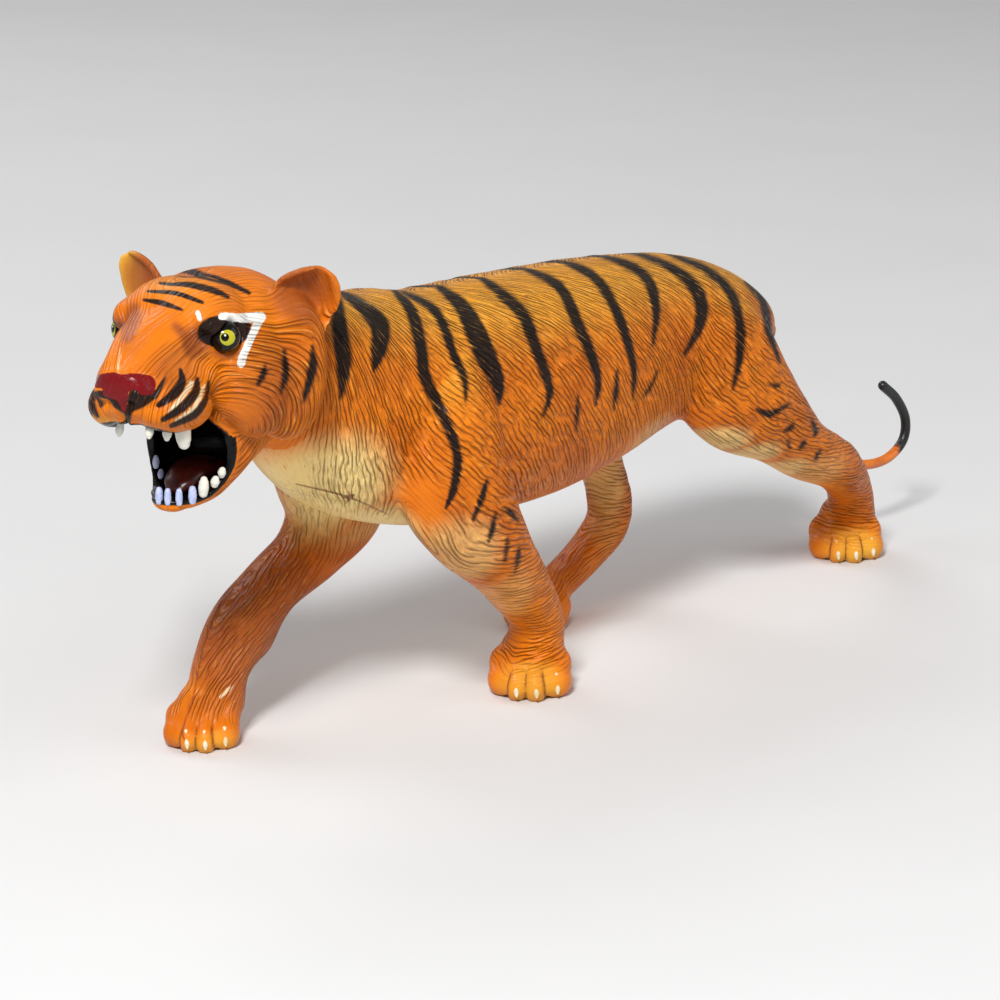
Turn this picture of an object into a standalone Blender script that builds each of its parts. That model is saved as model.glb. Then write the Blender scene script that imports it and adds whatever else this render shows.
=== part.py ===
"""Tiger figurine: a striding tiger with an open mouth, moulded in one piece of soft vinyl.

Nose towards -X, tail towards +X, the tiger's left side towards -Y, up is +Z.
The ground is z = 0 and the origin is under the middle of the bounding box.
Dimensions in the tables are millimetres; the finished mesh is in metres.
"""
import math

import bmesh
import bpy
from mathutils import Euler, Matrix, Vector

# Driving dimensions (mm)
WITHERS = 105.0          # height of the back behind the neck
LOIN = 100.6             # height of the back over the hips
CHEST_HALF = 26.0        # half width of the trunk at the ribs
LOIN_HALF = 20.5         # half width of the trunk in front of the hips
FORE_GAUGE = 18.0        # sideways distance of a fore paw from the mid plane
HIND_GAUGE = 16.5        # the same for the far hind paw
PAW_HALF = 8.8           # half width of a paw before its own size factor
PAW_LIFT = 7.5           # half height of the upper dome of a paw
KNUCKLE_HEIGHT = 6.8     # middle of a toe's knuckle above the sole
SOLE_SINK = 1.0          # how deep the paws reach under the ground before they are cut flat
TAIL_RADIUS = 1.4        # thin end of the tail
HEAD_AT = (-113.4, -0.6, 105.0)
HEAD_TURN = (14.9, 6.2, -1.8)

# Mesh fineness
VOXEL = 1.25             # mm, cell of the first join
FINE_VOXEL = 1.0         # mm, cell after the mouth is cut
FACES = 9400             # triangles of the body after thinning
RING = 32                # points round a limb
SPAN = 6                 # rings between two stations
MM = 0.001

# Trunk: x, top, bottom, half width
TRUNK = [
    (-110, 119, 97, 14),
    (-98, 117.5, 85.5, 16),
    (-86, 115, 72.5, 18.5),
    (-70, 111.5, 56.5, 21.5),
    (-50, WITHERS + 1.5, 48, 24),
    (-30, WITHERS, 45.5, CHEST_HALF),
    (-5, WITHERS - 1.2, 45, CHEST_HALF + 0.5),
    (18, 102.6, 48, 24.5),
    (38, LOIN, 52, 21.5),
    (55, LOIN - 3, 55, LOIN_HALF),
    (70, 92.5, 58, 18.5),
    (82, 85, 62, 14.5),
    (90, 76, 66, 9),
]

# Legs: x, y, z, radius to the back, radius to the front, radius sideways
LEFT_FORE_PAW = (-20, -FORE_GAUGE + 0.5)
RIGHT_FORE_PAW = (-102, FORE_GAUGE)
LEFT_HIND_PAW = (126.5, -6.5)
RIGHT_HIND_PAW = (22.5, HIND_GAUGE)
LEFT_FORELEG = [
    (-42, -13, 93, 11, 10, 7),
    (-50, -18, 78, 15, 14, 10.5),
    (-53, -21, 64, 17, 16, 11.5),
    (-48.5, -22.5, 52, 15, 15.5, 11),
    (-38.5, -22.5, 40, 10.5, 10.5, 9.5),
    (-26.5, -21, 27, 8, 7.6, 7.6),
    (-20.5, -19.5, 18.5, 7.2, 6.6, 7.2),
    (LEFT_FORE_PAW[0], LEFT_FORE_PAW[1] - 0.5, 9, 7.8, 7.5, 7.8),
]
RIGHT_FORELEG = [
    (-48, 13, 93, 11, 10, 7),
    (-59, 16.5, 78, 14, 11.5, 10),
    (-59, 19, 63, 18, 13, 11),
    (-52, 20, 50, 16, 15, 10.5),
    (-62, 19.5, 38.5, 10, 10.2, 9),
    (-77, 19, 32, 8.6, 8.8, 8),
    (-88, 18.5, 25.5, 10, 9, 7.8),
    (-95, 18, 17.5, 6.4, 8.2, 7.2),
    (RIGHT_FORE_PAW[0] + 4, RIGHT_FORE_PAW[1], 9, 7.2, 7.5, 7.4),
]
LEFT_HINDLEG = [
    (52, -10, 86, 10, 14, 8),
    (58, -14, 74, 17, 19.5, 10),
    (66, -16.5, 62, 16, 18.5, 10.5),
    (80, -18, 50, 10.5, 12.4, 8.8),
    (92, -18, 40.5, 7.6, 9.6, 7.4),
    (107.5, -16.5, 31.5, 7.4, 7.2, 6.8),
    (120.5, -11.5, 22, 6.6, 6.4, 6.4),
    (LEFT_HIND_PAW[0] + 0.5, LEFT_HIND_PAW[1] - 1.5, 12, 6.8, 6.4, 6.6),
]
RIGHT_HINDLEG = [
    (50, 10, 86, 12, 12, 8),
    (47, 14, 74, 16, 16, 10),
    (42, 16, 62, 15, 14, 10),
    (43, 17.5, 50, 9, 10, 8),
    (48.5, 18, 39, 6.4, 6.4, 6),
    (51.5, 18, 29, 7.2, 5.8, 5.8),
    (51, 18, 21.5, 7.6, 5.8, 5.6),
    (41, 17.5, 15, 6.4, 4.8, 5.2),
    (RIGHT_HIND_PAW[0] + 6, RIGHT_HIND_PAW[1] + 0.5, 9, 4.8, 4.8, 5.4),
]

# Paws: place, turn in degrees, size
PAWS = [
    (LEFT_FORE_PAW, 38, 1.07),
    (RIGHT_FORE_PAW, 38, 0.95),
    (LEFT_HIND_PAW, 42, 1.04),
    (RIGHT_HIND_PAW, 20, 0.9),
]
TOES = [(-4.2, -6.6, 3.5), (-7.2, -2.4, 3.9), (-7.2, 2.4, 3.9), (-4.2, 6.6, 3.5)]

# Tail: x, y, z, radius
TAIL = [
    (80, 0, 79, 4.4),
    (88, 0.4, 77, 4.2),
    (95.5, 1, 69, 3.2),
    (103, 2, 57, 2.4),
    (111, 1.5, 42, 1.9),
    (124, 0, 28, 1.6),
    (137, -2, 22.5, TAIL_RADIUS + 0.05),
    (150, -2, 21, TAIL_RADIUS),
    (158.6, -2, 24.6, TAIL_RADIUS),
    (160, -2, 31, TAIL_RADIUS),
    (155.5, -2, 38, TAIL_RADIUS),
    (149, -2, 43.2, TAIL_RADIUS),
]

# Head, in its own frame: nose towards -X, centre between the ears
MUZZLE = [
    (-6, 0, 0, 14, 16, 15),
    (-20, 0, -1, 11, 14, 12.6),
    (-29, 0, -3.5, 8.5, 11.5, 10.8),
    (-35.5, 0, -6, 6.5, 9, 9.6),
    (-38, 0, -7, 5, 7.5, 7),
]
JAW = [
    (9, 0, -13, 12.5, 10, 14.5),
    (-2, 0, -19, 11, 11, 13.8),
    (-8, 0, -24, 9.8, 11, 12.4),
    (-13, 0, -28.5, 8.8, 9, 9.8),
    (-17, 0, -32, 5.2, 6, 7.4),
    (-19, 0, -33.4, 3.2, 4, 5),
]
MIDDLE_BALLS = [
    ((3, 0, 2), (24, 20, 17), (0, 0, 0)),
    ((-12, 0, 6.5), (14.5, 15.6, 12.5), (0, 0, 0)),
    ((-39.2, 0, -4.6), (3.2, 6.2, 4.6), (0, 0, 0)),
    ((-33, 0, -11.5), (6.5, 4.5, 4.6), (0, 0, 0)),
]
PAIRED_BALLS = [
    ((-28.5, 6.5, -9.9), (11.5, 7.2, 6.2), (8, 6, 0)),
    ((-17.5, 9.3, 9.0), (7.5, 5, 4), (-14, -14, 0)),
    ((-3.5, 13.5, -5.5), (13, 9, 14.5), (0, 0, 0)),
    ((5.5, 17, -3.5), (10.5, 9.6, 18), (0, 0, 0)),
    ((-16.2, 12.4, 5.2), (3.6, 3.6, 3.6), (0, 0, 0)),
]
LEFT_EAR = ((1.5, -14, 13.0), (12.5, -25.5, 7.0), (6.5, -26.0, 20.6), 4.5)
RIGHT_EAR = ((2, 14.5, 13.5), (6.3, 27, 7.5), (6, 27.5, 21.2), 3.5)
EAR_BASE_THICK = 2.6
EAR_TIP_THICK = 1.6

# Open mouth, seen from the side: x, z of the cut through both cheeks
GAPE = [
    (-52, -14.8), (-36, -15.6), (-24, -15.8), (-16, -15.2), (-12.6, -16.4), (-11, -19),
    (-10.4, -22.5), (-10.4, -26), (-11.6, -29.5), (-14, -32), (-17.5, -33), (-22, -33.2), (-52, -33.2),
]
GAPE_HALF = 24
THROAT = [
    (-40, 0, -15, 0.9, 0.9, 6),
    (-32, 0, -16.5, 5, 4.5, 7.5),
    (-24, 0, -20, 9, 8, 9),
    (-16, 0, -23, 10, 9.5, 9.8),
    (-8, 0, -23.5, 8.5, 8, 9.6),
    (-2, 0, -23, 5, 5, 7),
]


def between(stations, steps):
    """Rows on a smooth curve through the stations."""
    rows = []
    ends = [tuple(2 * a - b for a, b in zip(stations[0], stations[1]))]
    ends += list(stations)
    ends.append(tuple(2 * a - b for a, b in zip(stations[-1], stations[-2])))
    for k in range(1, len(ends) - 2):
        p0, p1, p2, p3 = ends[k - 1:k + 3]
        for step in range(steps):
            t = step / steps
            rows.append(tuple(
                0.5 * (2 * b + (c - a) * t + (2 * a - 5 * b + 4 * c - d) * t**2 + (3 * b - a - 3 * c + d) * t**3)
                for a, b, c, d in zip(p0, p1, p2, p3)))
    rows.append(tuple(stations[-1]))
    return rows


def add_tube(bm, stations, power=2.0, ring=RING, steps=SPAN, place=Matrix()):
    """Loft closed round rings along the stations and dome both ends."""
    rows = between(stations, steps)
    centres = [Vector(row[:3]) for row in rows]
    last = len(rows) - 1
    outline = []
    for k in range(ring):
        angle = 2 * math.pi * k / ring
        c = math.cos(angle)
        s = math.sin(angle)
        outline.append((math.copysign(abs(c) ** (2 / power), c), math.copysign(abs(s) ** (2 / power), s)))
    rings = []
    for k, row in enumerate(rows):
        along = (centres[min(k + 1, last)] - centres[max(k - 1, 0)]).normalized()
        side = Vector((0, 1, 0))
        side = (side - along * side.dot(along)).normalized()
        deep = along.cross(side)
        plus, minus, wide = (max(v, 0.05) for v in row[3:6])
        ring_points = [deep * (c * (plus if c > 0 else minus)) + side * (s * wide) for c, s in outline]
        dome = [(0.0, 1.0)]
        if k in (0, last):
            dome = [(math.sin(a), math.cos(a)) for a in (1.26, 0.94, 0.63, 0.31)] + dome
        if k == last:
            dome.reverse()
        sign = -1 if k == 0 else 1
        for push, shrink in dome:
            centre = centres[k] + along * (sign * push * min(plus, minus))
            rings.append([bm.verts.new(place @ (centre + p * shrink)) for p in ring_points])
        if k in (0, last):
            tip = bm.verts.new(place @ (centres[k] + along * (sign * min(plus, minus))))
            edge = rings[0] if k == 0 else rings[-1]
            for j in range(ring):
                bm.faces.new((tip, edge[j], edge[(j + 1) % ring]))
    for first, second in zip(rings, rings[1:]):
        for j in range(ring):
            n = (j + 1) % ring
            bm.faces.new((first[j], first[n], second[n], second[j]))


def add_ball(bm, centre, radii, turn, place=Matrix()):
    """A turned ellipsoid."""
    yaw, pitch, roll = (math.radians(v) for v in turn)
    matrix = place @ Matrix.Translation(centre) @ Euler((roll, pitch, yaw)).to_matrix().to_4x4()
    matrix = matrix @ Matrix.Diagonal((*radii, 1))
    bmesh.ops.create_uvsphere(bm, u_segments=28, v_segments=16, radius=1, matrix=matrix)


def add_ear(bm, inner, outer, tip, cup, place=Matrix()):
    """A cupped plate over the line from inner to outer, hollow towards the front."""
    a, b, t = Vector(inner), Vector(outer), Vector(tip)
    middle = (a + b) / 2
    half = (b - a) / 2
    rise = t - middle
    back = rise.cross(half).normalized()
    if back.x < 0:
        back = -back
    columns = 24
    levels = 12
    sheets = ([], [])
    for i in range(columns + 1):
        u = 2 * i / columns - 1
        for j in range(levels + 1):
            v = 1.5 * j / levels - 0.5
            up = max(v, 0)
            wide = max(math.sqrt(max(1 - up**2.3, 0)) * (1 + 0.1 * up), 0.12)
            thick = EAR_BASE_THICK + (EAR_TIP_THICK - EAR_BASE_THICK) * up
            point = middle + half * (u * wide) + rise * v
            point += back * (cup * ((1 - u * u) * (1 - 0.55 * up) - 0.35))
            sheets[0].append(bm.verts.new(place @ point))
            sheets[1].append(bm.verts.new(place @ (point + back * (thick * (1 - 0.35 * abs(u) ** 4)))))
    row = levels + 1
    for i in range(columns):
        for j in range(levels):
            k = i * row + j
            bm.faces.new([sheets[0][n] for n in (k, k + row, k + row + 1, k + 1)])
            bm.faces.new([sheets[1][n] for n in (k + 1, k + row + 1, k + row, k)])
    rim = [i * row for i in range(columns + 1)]
    rim += [columns * row + j for j in range(1, row)]
    rim += [i * row + levels for i in range(columns - 1, -1, -1)]
    rim += [j for j in range(levels - 1, 0, -1)]
    for p, q in zip(rim, rim[1:] + rim[:1]):
        bm.faces.new((sheets[0][q], sheets[0][p], sheets[1][p], sheets[1][q]))


def add_paw(bm, at, turn, size):
    """A low dome with four toes and their knuckles in an arc."""
    place = Matrix.Translation((at[0], at[1], -SOLE_SINK)) @ Matrix.Rotation(math.radians(turn), 4, "Z")
    place = place @ Matrix.Diagonal((size, size, size * 1.06, 1))
    add_ball(bm, (0, 0, 5.2), (PAW_HALF + 0.7, PAW_HALF, 5.2), (0, 0, 0), place)
    add_ball(bm, (1.5, 0, 8.5), (PAW_HALF - 0.8, PAW_HALF - 1, PAW_LIFT), (0, 0, 0), place)
    for x, y, radius in TOES:
        add_ball(bm, (x, y, 4.0), (radius + 1.6, radius - 0.1, radius + 0.2), (0, 0, 0), place)
        add_ball(bm, (x + 3.5, y, KNUCKLE_HEIGHT), (4.0, radius - 0.3, 4.0), (0, 0, 0), place)


def add_gape(bm, place):
    """A flat-sided prism that opens the mouth through both cheeks."""
    near = [bm.verts.new(place @ Vector((x, -GAPE_HALF, z))) for x, z in GAPE]
    floor = bm.faces.new(near)
    result = bmesh.ops.extrude_face_region(bm, geom=[floor])
    moved = [v for v in result["geom"] if isinstance(v, bmesh.types.BMVert)]
    across = place.to_3x3() @ Vector((0, 2 * GAPE_HALF, 0))
    bmesh.ops.translate(bm, verts=moved, vec=across)


def make_object(bm, name):
    """Put the bmesh into an object, in metres, with its faces outward."""
    bmesh.ops.scale(bm, vec=(MM, MM, MM), verts=bm.verts)
    bmesh.ops.recalc_face_normals(bm, faces=bm.faces)
    mesh = bpy.data.meshes.new(name)
    bm.to_mesh(mesh)
    bm.free()
    obj = bpy.data.objects.new(name, mesh)
    bpy.context.scene.collection.objects.link(obj)
    return obj


def bake(obj):
    """Replace the object's mesh by the result of its modifiers."""
    graph = bpy.context.evaluated_depsgraph_get()
    mesh = bpy.data.meshes.new_from_object(obj.evaluated_get(graph))
    obj.modifiers.clear()
    obj.data = mesh


def join_cells(obj, size):
    remesh = obj.modifiers.new("join", "REMESH")
    remesh.mode = "VOXEL"
    remesh.voxel_size = size * MM
    bake(obj)


def boolean(obj, other, operation):
    cut = obj.modifiers.new("boolean", "BOOLEAN")
    cut.operation = operation
    cut.solver = "EXACT"
    cut.object = other
    bake(obj)
    bpy.data.objects.remove(other)


def smooth(obj, rounds):
    bm = bmesh.new()
    bm.from_mesh(obj.data)
    for _ in range(rounds):
        bmesh.ops.smooth_vert(bm, verts=bm.verts, factor=0.5, use_axis_x=True, use_axis_y=True, use_axis_z=True)
    bm.to_mesh(obj.data)
    bm.free()


def build_body(head):
    """Trunk, legs, paws and head as one skin."""
    bm = bmesh.new()
    trunk = []
    for x, top, bottom, wide in TRUNK:
        middle = (top + bottom) / 2
        trunk.append((x, 0, middle, top - middle, middle - bottom, wide))
    add_tube(bm, trunk, power=2.25, ring=40)
    for leg in (LEFT_FORELEG, RIGHT_FORELEG, LEFT_HINDLEG, RIGHT_HINDLEG):
        add_tube(bm, leg)
    for at, turn, size in PAWS:
        add_paw(bm, at, turn, size)
    add_tube(bm, MUZZLE, power=2.3, place=head)
    add_tube(bm, JAW, power=2.3, place=head)
    for centre, radii, turn in MIDDLE_BALLS:
        add_ball(bm, centre, radii, turn, head)
    for centre, radii, turn in PAIRED_BALLS:
        yaw, pitch, roll = turn
        add_ball(bm, centre, radii, turn, head)
        add_ball(bm, (centre[0], -centre[1], centre[2]), radii, (-yaw, pitch, -roll), head)
    add_ear(bm, *LEFT_EAR, head)
    add_ear(bm, *RIGHT_EAR, head)
    body = make_object(bm, "tiger_figure")
    join_cells(body, VOXEL)
    smooth(body, 2)
    return body


def open_mouth(body, head):
    bm = bmesh.new()
    add_gape(bm, head)
    boolean(body, make_object(bm, "gape"), "DIFFERENCE")
    bm = bmesh.new()
    add_tube(bm, THROAT, power=2.5, place=head)
    boolean(body, make_object(bm, "throat"), "DIFFERENCE")
    join_cells(body, FINE_VOXEL)
    smooth(body, 5)


def thin_out(body):
    """Fewer faces, then the tail as a clean loft, flat soles and the origin in the middle."""
    triangles = sum(len(p.vertices) - 2 for p in body.data.polygons)
    thin = body.modifiers.new("thin", "DECIMATE")
    thin.ratio = FACES / triangles
    bake(body)
    bm = bmesh.new()
    add_tube(bm, [(x, y, z, r, r, r) for x, y, z, r in TAIL], ring=10, steps=3)
    boolean(body, make_object(bm, "tail"), "UNION")
    bm = bmesh.new()
    bm.from_mesh(body.data)
    geom = bm.verts[:] + bm.edges[:] + bm.faces[:]
    cut = bmesh.ops.bisect_plane(bm, geom=geom, dist=1e-7, plane_co=(0, 0, 0), plane_no=(0, 0, -1), clear_outer=True)
    rims = [e for e in cut["geom_cut"] if isinstance(e, bmesh.types.BMEdge)]
    bmesh.ops.triangle_fill(bm, edges=rims, use_beauty=True)
    bmesh.ops.dissolve_degenerate(bm, dist=2e-5, edges=bm.edges)
    bmesh.ops.triangulate(bm, faces=bm.faces)
    bmesh.ops.recalc_face_normals(bm, faces=bm.faces)
    low = [min(v.co[k] for v in bm.verts) for k in range(3)]
    high = [max(v.co[k] for v in bm.verts) for k in range(3)]
    bmesh.ops.translate(bm, verts=bm.verts, vec=(-(low[0] + high[0]) / 2, -(low[1] + high[1]) / 2, 0))
    for face in bm.faces:
        face.smooth = True
    bm.to_mesh(body.data)
    bm.free()


def paint(body):
    material = bpy.data.materials.new("painted_vinyl")
    material.use_nodes = True
    shader = material.node_tree.nodes["Principled BSDF"]
    shader.inputs["Base Color"].default_value = (0.72, 0.27, 0.05, 1)
    shader.inputs["Roughness"].default_value = 0.42
    shader.inputs["Metallic"].default_value = 0.0
    body.data.materials.clear()
    body.data.materials.append(material)


def main():
    for obj in list(bpy.data.objects):
        bpy.data.objects.remove(obj)
    yaw, pitch, roll = (math.radians(v) for v in HEAD_TURN)
    head = Matrix.Translation(HEAD_AT) @ Euler((roll, pitch, yaw)).to_matrix().to_4x4()
    body = build_body(head)
    open_mouth(body, head)
    thin_out(body)
    paint(body)


main()
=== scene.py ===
"""Looks of the tiger figurine: moulded fur, hand paint, eyes, teeth, tongue and claws.

Tables are in millimetres in the part's own layout: nose towards -X, the tiger's left side
towards -Y, ground at z = 0. TABLE_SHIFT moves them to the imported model's frame.
"""
import math

import bmesh
import bpy
import numpy as np
from mathutils import Matrix, Vector
from mathutils.kdtree import KDTree


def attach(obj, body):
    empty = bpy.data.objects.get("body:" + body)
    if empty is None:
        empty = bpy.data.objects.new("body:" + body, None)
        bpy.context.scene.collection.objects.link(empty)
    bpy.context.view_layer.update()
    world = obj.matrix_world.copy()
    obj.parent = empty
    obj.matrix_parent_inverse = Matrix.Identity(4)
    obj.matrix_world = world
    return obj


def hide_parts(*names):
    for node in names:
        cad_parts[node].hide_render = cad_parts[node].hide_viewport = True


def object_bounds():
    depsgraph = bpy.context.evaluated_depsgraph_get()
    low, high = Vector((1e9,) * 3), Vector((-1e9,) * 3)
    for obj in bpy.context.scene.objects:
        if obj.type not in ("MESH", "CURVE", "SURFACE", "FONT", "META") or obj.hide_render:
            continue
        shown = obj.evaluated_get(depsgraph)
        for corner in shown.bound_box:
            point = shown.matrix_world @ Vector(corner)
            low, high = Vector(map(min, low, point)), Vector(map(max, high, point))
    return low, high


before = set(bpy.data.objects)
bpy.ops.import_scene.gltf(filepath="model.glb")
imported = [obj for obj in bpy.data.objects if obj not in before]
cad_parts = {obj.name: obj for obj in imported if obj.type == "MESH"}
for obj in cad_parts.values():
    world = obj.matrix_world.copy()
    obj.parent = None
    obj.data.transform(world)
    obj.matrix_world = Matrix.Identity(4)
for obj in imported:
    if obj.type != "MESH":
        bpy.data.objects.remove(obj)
CAD_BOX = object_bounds()

MM = 0.001
TABLE_SHIFT = np.array((-2.988, 1.411, 0.0))

# Photograph's camera, in table millimetres and photograph pixels
CAMERA_AZIMUTH = math.radians(-47.98)
CAMERA_ELEVATION = math.radians(16.11)
CAMERA_ROLL = math.radians(-0.676)
CAMERA_DISTANCE = 1067.5
CAMERA_TARGET = np.array((-13.64, -1.46, 45.46))
FOCAL_PIXELS = 4161.7
PHOTO_SIZE = 1000

# Driving sizes
WITHERS = 105.0
LOIN = 100.6
CHEST_HALF = 26.0
LOIN_HALF = 20.5
FORE_GAUGE = 18.0
HIND_GAUGE = 16.5
PAW_HALF = 8.8
PAW_LIFT = 7.5
SOLE_SINK = 1.0
TAIL_RADIUS = 1.4
HEAD_AT = np.array((-113.4, -0.6, 105.0))
HEAD_TURN = (14.9, 6.2, -1.8)

# Mesh fineness
JOIN_CELL = 0.8
BODY_CELL = 0.599
HEAD_CELL = 0.433
CHART_CELL = 1.5
SOLVER_ROUNDS = 1500
SOLVER_REST = 1e-9
NECK_CUT_X = -84.0
NECK_CUT_Z = 62.0
MIDDLE_CUT_X = 6.0
FLOOR_SIZE = 4.0

# Trunk: x, top, bottom, half width
TRUNK = [
    (-110, 119, 97, 14), (-98, 117.5, 85.5, 16), (-86, 115, 72.5, 18.5), (-70, 111.5, 56.5, 21.5),
    (-50, WITHERS + 1.5, 48, 24), (-30, WITHERS, 45.5, CHEST_HALF),
    (-5, WITHERS - 1.2, 45, CHEST_HALF + 0.5), (18, 102.6, 48, 24.5), (38, LOIN, 52, 21.5),
    (55, LOIN - 3, 55, LOIN_HALF), (70, 92.5, 58, 18.5), (82, 85, 62, 14.5), (90, 76, 66, 9),
]

# Legs: x, y, z, radius to the back, radius to the front, radius sideways
LEFT_FORE_PAW = (-20, -FORE_GAUGE + 0.5)
RIGHT_FORE_PAW = (-102, FORE_GAUGE)
LEFT_HIND_PAW = (126.5, -6.5)
RIGHT_HIND_PAW = (22.5, HIND_GAUGE)
KNUCKLE_HEIGHT = 6.8
LEFT_FORELEG = [
    (-42, -13, 93, 11, 10, 7), (-50, -18, 78, 15, 14, 10.5), (-53, -21, 64, 17, 16, 11.5),
    (-48.5, -22.5, 52, 15, 13.2, 11), (-38.5, -22.5, 40, 10.5, 9.4, 9.5), (-26.5, -21, 27, 8, 7.6, 7.6),
    (-20.5, -19.5, 18.5, 7.2, 6.6, 7.2), (LEFT_FORE_PAW[0], LEFT_FORE_PAW[1] - 0.5, 9, 7.8, 7.5, 7.8),
]
RIGHT_FORELEG = [
    (-48, 13, 93, 11, 10, 7), (-59, 16.5, 78, 14, 11.5, 10), (-59, 19, 63, 18, 13, 11),
    (-52, 20, 50, 16, 15, 10.5), (-62, 19.5, 38.5, 7.6, 10.2, 9), (-77, 19, 32, 6.0, 8.8, 8),
    (-88, 18.5, 25.5, 10, 9, 7.8), (-95, 18, 17.5, 6.4, 8.2, 7.2),
    (RIGHT_FORE_PAW[0] + 4, RIGHT_FORE_PAW[1], 9, 7.2, 7.5, 7.4),
]
LEFT_HINDLEG = [
    (52, -10, 86, 10, 14, 8), (58, -14, 74, 17, 19.5, 10), (66, -16.5, 62, 16, 18.5, 10.5),
    (80, -18, 50, 10.5, 12.4, 8.8), (92, -18, 40.5, 7.6, 9.6, 7.4), (107.5, -16.5, 31.5, 7.4, 7.2, 6.8),
    (120.5, -11.5, 22, 6.6, 6.4, 6.4),
    (LEFT_HIND_PAW[0] + 0.5, LEFT_HIND_PAW[1] - 1.5, 12, 6.8, 6.4, 6.6),
]
RIGHT_HINDLEG = [
    (50, 10, 86, 12, 12, 8), (47, 14, 74, 16, 16, 10), (42, 16, 62, 15, 14, 10),
    (43, 17.5, 50, 9, 10, 8), (48.5, 18, 39, 6.4, 6.4, 6), (51.5, 18, 29, 7.2, 5.8, 5.8),
    (51, 18, 21.5, 7.6, 5.8, 5.6), (41, 17.5, 15, 6.4, 4.8, 5.2),
    (RIGHT_HIND_PAW[0] + 6, RIGHT_HIND_PAW[1] + 0.5, 9, 4.8, 4.8, 5.4),
]
# Paws: place, turn in degrees, size; toes: x, y, radius; creases between them: y
PAWS = [
    (LEFT_FORE_PAW, 38, 1.07), (RIGHT_FORE_PAW, 38, 0.95), (LEFT_HIND_PAW, 42, 1.04),
    (RIGHT_HIND_PAW, 20, 0.9),
]
TOES = [(-3.9, 7.0, 3.6), (-7.0, 3.3, 3.9), (-7.4, -1.5, 4.0), (-4.6, -6.3, 3.7)]
CREASES = (5.6, 1.0, -4.1)
PAW_STRETCH = 1.06

# Tail: x, y, z, radius
TAIL = [
    (80, 0, 79, 4.4), (88, 0.4, 77, 4.2), (95.5, 1, 69, 3.2), (103, 2, 57, 2.4), (111, 1.5, 42, 1.9),
    (124, 0, 28, 1.6), (137, -2, 22.5, TAIL_RADIUS + 0.05), (150, -2, 21, TAIL_RADIUS),
    (158.6, -2, 24.6, TAIL_RADIUS), (160, -2, 31, TAIL_RADIUS), (155.5, -2, 38, TAIL_RADIUS),
    (149, -2, 43.2, TAIL_RADIUS),
]

# Head, in its own frame: nose towards -X, centre between the ears
MUZZLE = [
    (-6, 0, 0, 14, 16, 15), (-20, 0, -1, 11, 14, 12.6), (-29, 0, -3.5, 8.5, 11.5, 10.8),
    (-35.5, 0, -6, 6.5, 9, 9.6), (-38, 0, -7, 5, 7.5, 7),
]
JAW = [
    (9, 0, -13, 12.5, 10, 14.5), (-2, 0, -19, 11, 11, 13.8), (-8, 0, -24, 9.8, 11, 12.4),
    (-13, 0, -28.5, 8.8, 9, 9.8), (-17, 0, -32, 5.2, 6, 7.4), (-19, 0, -33.4, 3.2, 4, 5),
]
SKULL = ((3, 0, 2), (24, 20, 17), (0, 0, 0))
FOREHEAD = ((-12, 0, 6.5), (14.5, 15.6, 12.5), (0, 0, 0))
NOSE = ((-39.2, 0, -4.6), (3.2, 6.2, 4.6), (0, 0, 0))
LIP = ((-33, 0, -11.5), (6.5, 4.5, 4.6), (0, 0, 0))
WHISKER_PAD = ((-28.5, 6.5, -9.9), (11.5, 7.2, 6.2), (8, 6, 0))
BROW = ((-17.5, 9.3, 9.0), (7.5, 5, 4), (-14, -14, 0))
CHEEK = ((-3.5, 13.5, -5.5), (13, 9, 14.5), (0, 0, 0))
RUFF = ((5.5, 17, -3.5), (10.5, 9.6, 18), (0, 0, 0))
EYE_SOCKET = ((-16.2, 12.4, 5.2), (3.6, 3.6, 3.6), (0, 0, 0))
LEFT_EAR = ((1.5, -14, 13.0), (12.5, -25.5, 7.0), (6.5, -26.0, 20.6), 4.5)
RIGHT_EAR = ((2, 14.5, 13.5), (6.3, 27, 7.5), (6, 27.5, 21.2), 3.5)
EAR_BASE_THICK = 2.6
EAR_TIP_THICK = 1.6
EYEBALL_AT = (-16.5, -13.1, 5.3)
EYEBALL_RADIUS = 3.8
# Outline of the open mouth in the head's side view: x, z
GAPE = [
    (-52, -14.8), (-36, -15.6), (-24, -15.8), (-16, -15.2), (-12.6, -16.4), (-11, -19), (-10.4, -22.5),
    (-10.4, -26), (-11.6, -29.5), (-14, -32), (-17.5, -33), (-22, -33.2), (-52, -33.2),
]
GAPE_HALF = 24
THROAT = [
    (-40, 0, -15, 0.9, 0.9, 6), (-32, 0, -16.5, 5, 4.5, 7.5), (-24, 0, -20, 9, 8, 9),
    (-16, 0, -23, 10, 9.5, 9.8), (-8, 0, -23.5, 8.5, 8, 9.6), (-2, 0, -23, 5, 5, 7),
]

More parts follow.
